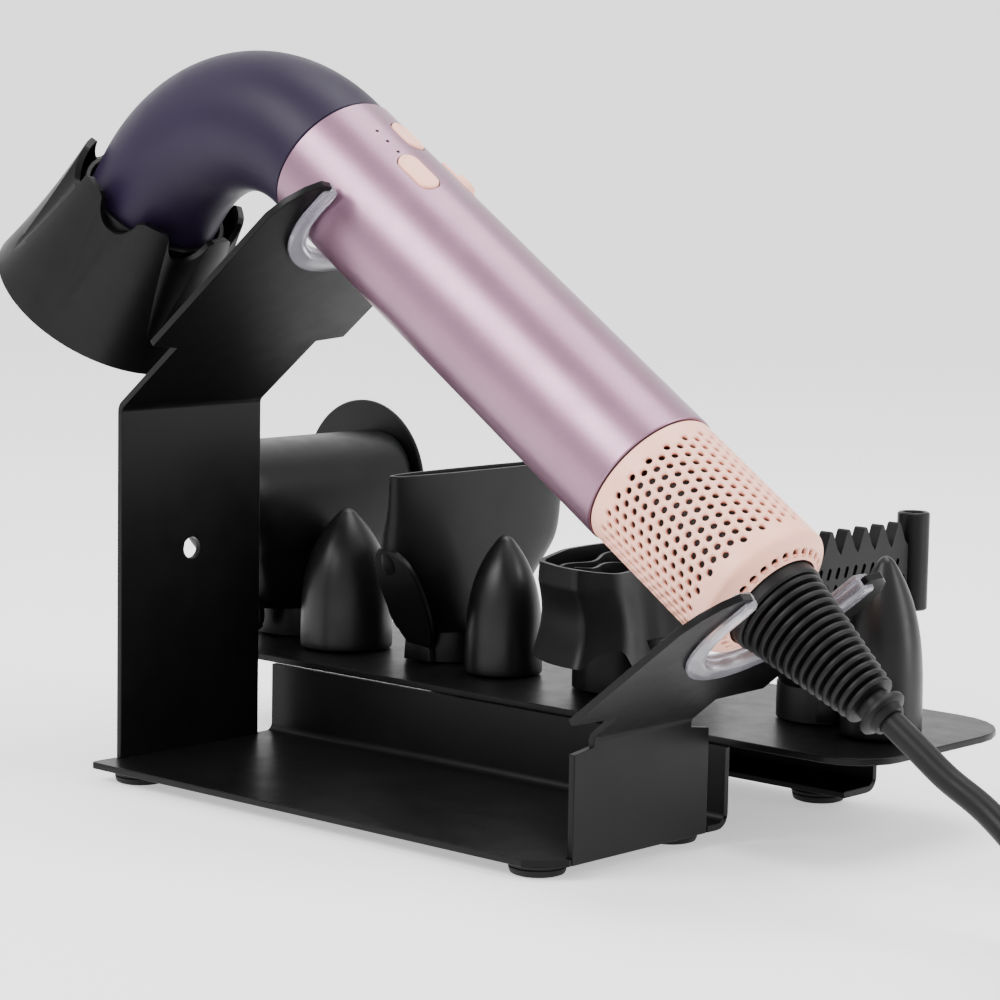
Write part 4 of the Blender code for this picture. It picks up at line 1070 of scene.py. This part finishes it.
def collar(bm, x, y):
    """Round socket open from below, with rounded edges."""
    inside = COLLAR_RADIUS - COLLAR_WALL
    profile = [(0, SOCKET_DEPTH), (inside - 0.0004, SOCKET_DEPTH), (inside, SOCKET_DEPTH - 0.0004),
               (inside, 0.0003), (inside + 0.0003, 0), (COLLAR_RADIUS - 0.0005, 0), (COLLAR_RADIUS, 0.0005),
               (COLLAR_RADIUS, COLLAR_HEIGHT - 0.0006), (COLLAR_RADIUS - 0.0006, COLLAR_HEIGHT),
               (0, COLLAR_HEIGHT)]
    lathe(profile, on_tray(x, y, above_shelf(0)), UP, SIDEWAYS, 96, bm=bm)


# where each nozzle's collar stands: across the tray and back from its front edge
FLYAWAY_AT = (-0.0265, 0.1040)
CONCENTRATOR_AT = (0.0355, 0.1040)
WAVE_AT = (0.1010, 0.1020)
COMB_AT = (0.1650, 0.1080)
EAR_TAB = (0.0050, 0.0038, 0.0085)

BARREL_AT = (-0.0243, 0.0613)
BARREL_RADIUS = 0.0190
BARREL_FULLNESS = 2.6
BARREL_BACK = 0.1332
FLANK_FOOT = 0.0855
FLANK_SLOPE = 0.53


def flank_front(z):
    """Where the flyaway's slanting front end is, along Y, at height z."""
    return FLANK_FOOT - FLANK_SLOPE * (min(z, BARREL_AT[1]) - SHELF_TOP)


def make_flyaway(finish):
    """Barrel lying front to back over slanting flanks, with a thin round disc at its far end."""
    x, y = FLYAWAY_AT
    bm = bmesh.new()
    collar(bm, x, y)
    barrel_x, barrel_z = BARREL_AT
    bend, join_at, squared = 2 / BARREL_FULLNESS, -0.72, 10.0

    def level(cx, z, half_width, power, back=BARREL_BACK):
        front = flank_front(z)
        return (cx, (front + back) / 2, z, half_width, (back - front) / 2, power)

    join_z = barrel_z - BARREL_RADIUS * abs(sin(join_at)) ** bend
    keys = [(x, y - 0.0010, above_shelf(0.0092), 0.0127, 0.0190, 2.5),
            level(x + 0.0005, above_shelf(0.0120), 0.0136, 3.6, 0.1306),
            level(x + 0.0012, above_shelf(0.0175), 0.0143, 8.0),
            level(barrel_x, join_z, BARREL_RADIUS * cos(join_at) ** bend, squared)]
    rings = eased_sections(keys, 8)
    steps, last_angle = 34, pi / 2 - 0.015
    for i in range(1, steps + 1):
        angle = join_at + (last_angle - join_at) * i / steps
        rise = (1 if angle > 0 else -1) * BARREL_RADIUS * abs(sin(angle)) ** bend
        rings.append(oval(*level(barrel_x, barrel_z + rise, BARREL_RADIUS * cos(angle) ** bend, squared)))
    skin(bm, placed(rings), caps=(True, True))
    ear_foot, ear_top, proud = 0.0240, 0.0480, 0.0004
    upper = on_tray(barrel_x - 0.0010, flank_front(ear_top) - proud, ear_top)
    lower = on_tray(x, flank_front(ear_foot) - proud, ear_foot)
    across, up, out = oblique_face(bm, upper, lower, 0.0086, 0.0016)
    tab(bm, lower + up * 0.0012, across, up, out, EAR_TAB)
    add_piece("flyaway_barrel", bm, finish, "nozzle", "flyaway", ("flyaway_nozzle",), angle=40)
    low, high = box_of("flyaway_disc")
    radius, thick, edge = (high.x - low.x) / 2, high.y - low.y, 0.0004
    centre = Vector(((low.x + high.x) / 2, low.y, (low.z + high.z) / 2))
    rim = [(0, 0), (radius - edge, 0), (radius, edge), (radius, thick - 0.0005), (radius - 0.0005, thick)]
    dish = [(radius - 0.0030, thick), (radius - 0.0034, thick - 0.0003), (0, thick - 0.0003)]
    bm = lathe(rim + dish, centre, ACROSS, SIDEWAYS, 128)
    add_piece("flyaway_end_disc", bm, finish, "nozzle", "flyaway", ("flyaway_disc",))


def oblique_face(bm, top, bottom, half_width, thick):
    """Slab with an oval outline, wider above, that leans forward from a bottom point to a top point."""
    sides, fullness, widening = 48, 2.4, 0.10
    up = top - bottom
    length = up.length / 2
    up.normalize()
    across = up.cross(Vector((0, -1, -0.4))).normalized()
    out = across.cross(up).normalized()
    centre = (top + bottom) / 2
    rings = []
    for depth, inset in ((-thick, 0.0), (-0.0004, 0.0), (0.0, 0.0004)):
        section = oval(0, 0, 0, half_width - inset, length - inset, fullness, sides)
        rings.append([centre + across * p.x * (1 + widening * p.y / length) + up * p.y + out * depth
                      for p in section])
    skin(bm, rings, caps=(True, True))
    return across, up, out


def tab(bm, centre, across, up, out, size, proud=0.0007):
    """Small raised trapezoid: half its foot's width, half its top's width, and its height."""
    low_half, high_half, height = size
    outline = [(-low_half, 0), (low_half, 0), (high_half, height), (-high_half, height)]
    rings = []
    for depth, inset in ((-0.0012, 0.0), (proud - 0.0002, 0.0), (proud, 0.0003)):
        ring = []
        for x, y in outline:
            x -= inset if x > 0 else -inset
            y += inset if y == 0 else -inset
            ring.append(centre + across * x + up * y + out * depth)
        rings.append(ring)
    skin(bm, rings, caps=(True, True))


def make_concentrator(finish):
    """Flat slot, front to back, on a round collar, with an oval oblique face in front."""
    x, y = CONCENTRATOR_AT
    mouth_x, top = 0.0455, SHELF_TOP + 0.0555
    half_width, half_mouth, power = 0.0046, 0.0357, 2.6
    throat = (mouth_x - 0.0030, y, SHELF_TOP + 0.0340, 0.0065, 0.0345, 3.0)
    neck = (mouth_x - 0.0008, y, SHELF_TOP + 0.0460, 0.0050, 0.0352, 2.7)
    mouth = (mouth_x, y, top, half_width, half_mouth, power)
    edge, wall = 0.0003, 0.0011
    bm = bmesh.new()
    collar(bm, x, y)
    keys = [(x, y, SHELF_TOP + 0.0096, 0.0122, 0.0174, 2.4),
            (x + 0.0008, y, SHELF_TOP + 0.0150, 0.0115, 0.0212, 3.0),
            (x + 0.0040, y, SHELF_TOP + 0.0250, 0.0092, 0.0282, 3.2),
            throat, neck, (mouth_x, y, top - edge, half_width, half_mouth, power)]
    inner = [inset_oval(mouth, edge), inset_oval(mouth, wall),
             inset_oval((mouth_x, y, top - 0.0006, half_width, half_mouth, power), wall + 0.0002),
             inset_oval(neck, wall), inset_oval(throat, wall),
             oval(mouth_x - 0.0040, y, SHELF_TOP + 0.0300, 0.0052, 0.0300, 3.0)]
    skin(bm, placed(eased_sections(keys, 10) + inner), caps=(True, True))
    upper = on_tray(mouth_x - 0.0020, y - 0.0350, SHELF_TOP + 0.0345)
    lower = on_tray(x + 0.0005, y - 0.0132, SHELF_TOP + 0.0030)
    oblique_face(bm, upper, lower, 0.0082, 0.0014)
    foot = on_tray(x + 0.0005, y - COLLAR_RADIUS - 0.0008, above_shelf(0.0006))
    tab(bm, foot, SIDEWAYS, UP, -ACROSS, (0.0050, 0.0043, 0.0090), 0.0010)
    add_piece("concentrator_flat", bm, finish, "nozzle", "concentrator", ("concentrator_nozzle",), angle=40)


def plan_loop(corners, radius):
    """A closed outline with rounded corners and evenly split edges."""
    per_corner, per_edge = 6, 8
    count = len(corners)
    rounds = []
    for i, corner in enumerate(corners):
        before, after = corners[i - 1], corners[(i + 1) % count]
        rounds.append(rounded([before, corner, after], radius, per_corner)[1:-1])
    points = []
    for i, run in enumerate(rounds):
        points += run
        start, end = Vector(run[-1]), Vector(rounds[(i + 1) % count][0])
        points += [tuple(start.lerp(end, k / per_edge)) for k in range(1, per_edge)]
    return points


WAVE_HALF_WIDTH = 0.0104
WAVE_HALF_MOUTH = 0.0318
WAVE_HEIGHT = 0.0362
WAVE_LEAN = 0.0020
WAVE_LIP = 0.0026


def wave_skirt(along):
    """Height of the body's lower edge: an arch between the middle and the lobe at each end."""
    middle, arch, lobe_drop, corner_rise = 0.0080, 0.0141, 0.0063, 0.0022
    reach = abs(along)
    if reach < 0.62:
        share = max(reach - 0.36, 0) / 0.26
        return middle + (arch - middle) * (1 - cos(pi * share)) / 2
    share = max(reach - 0.70, 0) / 0.30
    corner = max(reach - 0.92, 0) / 0.08
    return arch - lobe_drop * share ** 2 + corner_rise * corner ** 2


def wave_top(along, across):
    """Height of the mouth's saddle-shaped edge: lower in front than behind, level at its ends."""
    return above_shelf(WAVE_HEIGHT) - WAVE_LIP * (1 - abs(along) ** 3) * across


def wave_ring(plan, share, inset=0.0):
    """The body's outline a share of the way up from its skirt to its mouth."""
    x, y = WAVE_AT
    pinch = 0.09 * sin(pi * min(share * 1.25, 1.0))
    ring = []
    for px, py in plan:
        along, across = py / WAVE_HALF_MOUTH, px / WAVE_HALF_WIDTH
        length = WAVE_HALF_MOUTH * (1 - pinch) - inset
        spread = 0.70 - 0.36 * abs(along) if across > 0 else 0.0
        width = WAVE_HALF_WIDTH * (1 + spread * (1 - share) ** 1.2) - inset
        low, high = above_shelf(wave_skirt(along)), wave_top(along, across)
        level = low + (high - low) * share
        ring.append(on_tray(x + WAVE_LEAN * share + across * width, y + along * length, level))
    return ring


def wave_vane(vane, wall):
    """Sections along one thin waved vane inside the mouth."""
    x, y = WAVE_AT
    spans, half_thick, half_length = 40, 0.0005, WAVE_HALF_MOUTH * 0.86 - wall
    lines = []
    for k in range(spans + 1):
        along = -1 + 2 * k / spans
        across = (vane * 0.30 + 0.20 * sin(pi * 2.0 * along + vane)) * (1 - 0.55 * along ** 6)
        at_x, at_y = x + WAVE_LEAN + across * WAVE_HALF_WIDTH, y + along * half_length
        foot, top = above_shelf(0.0260), wave_top(along, across) - 0.0004
        lines.append([on_tray(at_x + side * half_thick, at_y, level)
                      for side, level in ((-1, foot), (1, foot), (1, top), (-1, top))])
    return lines


def make_wave(finish):
    """Faceted body over a separate round collar, with a floor and two waved vanes in its mouth."""
    outside, bore, edge, height = COLLAR_RADIUS + 0.0006, COLLAR_RADIUS - 0.0012, 0.0004, 0.0150
    bm = bmesh.new()
    lathe([(bore, 0.0003), (bore + 0.0003, 0), (outside - edge, 0), (outside, edge), (outside, height),
           (bore, height)], on_tray(*WAVE_AT, above_shelf(0)), UP, SIDEWAYS, 96, loop=True, bm=bm)
    facets = [(-0.80, -0.90), (0.80, -1.0), (1.0, -0.55), (0.80, -0.18), (0.80, 0.18), (1.0, 0.55),
              (0.80, 1.0), (-0.80, 0.90), (-1.0, 0.50), (-1.0, -0.50)]
    plan = plan_loop([(px * WAVE_HALF_WIDTH, py * WAVE_HALF_MOUTH) for px, py in facets], 0.0022)
    steps, wall = 30, 0.0013
    rings = [wave_ring(plan, i / steps) for i in range(steps + 1)]
    rings += [wave_ring(plan, share, wall) for share in (1.0, 0.985, 0.85, 0.70, 0.55, 0.40, 0.10, 0.0)]
    skin(bm, rings, loop=True)
    floor_ring = wave_ring(plan, 0.42, wall - 0.0001)
    skin(bm, [floor_ring, [p + UP * 0.0012 for p in floor_ring]], caps=(True, True))
    for vane in (-1, 1):
        skin(bm, wave_vane(vane, wall), caps=(True, True))
    add_piece("wave_mouth", bm, finish, "nozzle", "wave", ("wave_nozzle",), angle=35)


COMB_TEETH = 7
COMB_PITCH = 0.0075
COMB_WIDTH = COMB_TEETH * COMB_PITCH
COMB_START = COMB_AT[1] + 0.0265 - COMB_WIDTH
COMB_PLATE_X = 0.1690
COMB_LOW = SHELF_TOP + 0.0260


def comb_loops():
    """Outline of the plate with a tooth a pitch, and its rows of slanted slots."""
    root, tip, blunt = SHELF_TOP + 0.0440, SHELF_TOP + 0.0500, 0.0004
    outline = [(COMB_START, COMB_LOW), (COMB_START, root - blunt)]
    tooth = ((0.12, root + 0.0014), (0.36, tip - blunt), (0.44, tip), (0.52, tip - blunt),
             (0.80, root + 0.0012), (1.0, root - blunt))
    for i in range(COMB_TEETH):
        outline += [(COMB_START + COMB_PITCH * i + COMB_PITCH * share, height) for share, height in tooth]
    outline.append((COMB_START + COMB_WIDTH, COMB_LOW))
    loops = [outline]
    slot_half, slot_radius, first_row, row_pitch, margin = 0.0010, 0.00065, 0.0042, 0.0044, 0.0020
    slot = (arc(0, slot_half, slot_radius, slot_radius, 0, pi, 6)
            + arc(0, -slot_half, slot_radius, slot_radius, pi, tau, 6))
    for row in range(3):
        for i in range(COMB_TEETH * 2 - 1):
            along = COMB_START + COMB_PITCH * (0.5 * i + 0.55 + 0.15 * row)
            if along <= COMB_START + COMB_WIDTH - margin:
                at = Matrix.Translation((along, COMB_LOW + first_row + row_pitch * row, 0))
                tilt = at @ Matrix.Rotation(radians(-24), 4, "Z")
                loops.append([tuple((tilt @ Vector((u, v, 0))).xy) for u, v in slot])
    return loops


def make_comb(finish):
    """Comb plate with pointed teeth and slanted slots, its flared body and the open tube."""
    x, y = COMB_AT
    to_side = Matrix(((0, 0, 1, COMB_PLATE_X), (1, 0, 0, 0), (0, 1, 0, 0), (0, 0, 0, 1)))
    bm = pierced_plate("comb_outline", comb_loops(), 0.0034, Matrix.Translation(TRAY_CORNER) @ to_side)
    add_piece("comb_toothed_plate", bm, finish, "nozzle", "comb", ("comb_plate",), angle=30)
    bm = bmesh.new()
    collar(bm, x, y)
    middle = COMB_START + COMB_WIDTH / 2
    keys = [(x, y, SHELF_TOP + 0.0096, 0.0120, 0.0130, 2.0),
            (x + 0.0004, y, SHELF_TOP + 0.0130, 0.0118, 0.0150, 2.2),
            (x + 0.0020, (y + middle) / 2, SHELF_TOP + 0.0175, 0.0086, 0.0200, 2.6),
            (x + 0.0035, middle, SHELF_TOP + 0.0220, 0.0052, 0.0242, 3.4),
            (COMB_PLATE_X, middle, COMB_LOW - GAP, 0.0027, COMB_WIDTH / 2 - 0.0002, 6.0)]
    skin(bm, placed(eased_sections(keys, 10)), caps=(True, True))
    right, front = 0.62, 0.76
    foot = on_tray(x + COLLAR_RADIUS * right, y - COLLAR_RADIUS * front, above_shelf(0.0012))
    across, out = Vector((front, right, 0)).normalized(), Vector((right, -front, 0)).normalized()
    tab(bm, foot, across, UP, out, (0.0036, 0.0026, 0.0066), 0.0010)
    add_piece("comb_flared_body", bm, finish, "nozzle", "comb", ("comb_body",), angle=40)
    foot, radius, height = round_post("comb_tube")
    bore, floor, edge = 0.0030, 0.0020, 0.0004
    profile = [(0, floor), (bore, floor), (bore, height - 0.0003), (bore + 0.0003, height),
               (radius - edge, height), (radius, height - edge), (radius, edge), (radius - edge, 0), (0, 0)]
    bm = lathe(profile, foot, UP, SIDEWAYS, 64)
    add_piece("comb_end_tube", bm, finish, "nozzle", "comb", ("comb_tube",))


# ---------------------------------------------------------------- the frame's own sheets and inner pieces
def dress_frame(finish):
    """Give the CAD pieces that show their finish, and round the sheets' cut edges."""
    plan = {"steel": ["base_tray", "shelf_plate", "rear_leg", "rear_cradle", "front_cradle"],
            "edge": ["outlet_ring", "motor_housing"]
            + [nozzle + "_magnet" for nozzle in ("diffuser", "flyaway", "concentrator", "wave", "comb")]
            + ["peg_screw_%d" % number for number in range(1, 5)],
            "dark": ["filter_core"], "mica": ["heater_core"], "board": ["control_board"], "fan": ["impeller"]}
    for key, names in plan.items():
        for name in names:
            node = frame["nodes"][name]
            node.data.materials.clear()
            node.data.materials.append(finish[key])
    for name in plan["steel"]:
        node = frame["nodes"][name]
        weld = node.modifiers.new("welded", "WELD")
        weld.merge_threshold = 0.000002
        soften(node, 0.00028, 3, 32)
        smooth = node.modifiers.new("even_shading", "WEIGHTED_NORMAL")
        smooth.keep_sharp = True
        node.data.shade_smooth()


# ---------------------------------------------------------------- stage
def area_light(name, at, target, size, power):
    """A white rectangular softbox that faces a point."""
    data = bpy.data.lights.new(name, "AREA")
    data.shape = "RECTANGLE"
    data.size, data.size_y = size
    data.energy = power
    lamp = bpy.data.objects.new(name, data)
    lamp.location = at
    lamp.rotation_euler = (Vector(target) - Vector(at)).to_track_quat("-Z", "Y").to_euler()
    bpy.context.scene.collection.objects.link(lamp)


def make_stage(finish):
    """Pale sweep under and behind the station, in soft light from above and both sides."""
    bm = bmesh.new()
    view = Vector((CAMERA_AHEAD.x, CAMERA_AHEAD.y, 0)).normalized()
    side = Vector((view.y, -view.x, 0))
    near, far, bend, top, half_width, steps = -3.0, 1.6, 0.9, 3.5, 4.0, 16
    profile = [(near, 0.0), (far, 0.0)]
    for i in range(1, steps + 1):
        angle = pi / 2 * i / steps
        profile.append((far + bend * sin(angle), bend - bend * cos(angle)))
    profile.append((far + bend, top))
    rows = [[view * run + side * across + UP * height for run, height in profile]
            for across in (-half_width, half_width)]
    skin(bm, rows, closed=False)
    mesh = bpy.data.meshes.new("sweep")
    bm.to_mesh(mesh)
    bm.free()
    mesh.shade_smooth()
    sweep = bpy.data.objects.new("sweep", mesh)
    mesh.materials.append(finish["floor"])
    bpy.context.scene.collection.objects.link(sweep)
    world = bpy.data.worlds.new("studio")
    bpy.context.scene.world = world
    world.use_nodes = True
    background = world.node_tree.nodes["Background"]
    background.inputs["Color"].default_value = (1, 1, 1, 1)
    background.inputs["Strength"].default_value = 1.2
    target = (0.02, -0.01, 0.09)
    area_light("key", (-0.25, -1.05, 0.95), target, (0.9, 0.6), 24)
    area_light("top", (0.10, 0.25, 1.30), target, (1.0, 0.7), 14)
    area_light("rim", (1.15, 0.55, 0.50), target, (0.35, 1.1), 12)


# ---------------------------------------------------------------- everything together
def build_scene():
    """Camera, finishes, pieces and stage, in one go."""
    make_camera()
    finish = make_materials()
    cord, route, length = make_cord(finish)
    tie = make_tie(finish)
    plug_pieces = make_plug(finish)
    make_relief(finish)
    make_head(finish)
    make_handle(finish)
    make_keys(finish)
    make_cage(finish)
    for node, x, bend_height, arm in (REAR_CRADLE, FRONT_CRADLE):
        make_liner(node, x, bend_height, arm, finish)
    make_diffuser(finish)
    make_diffuser_plate(finish)
    make_pegs(finish)
    make_feet(finish)
    make_flyaway(finish)
    make_concentrator(finish)
    make_wave(finish)
    make_comb(finish)
    dress_frame(finish)
    make_stage(finish)


build_scene()
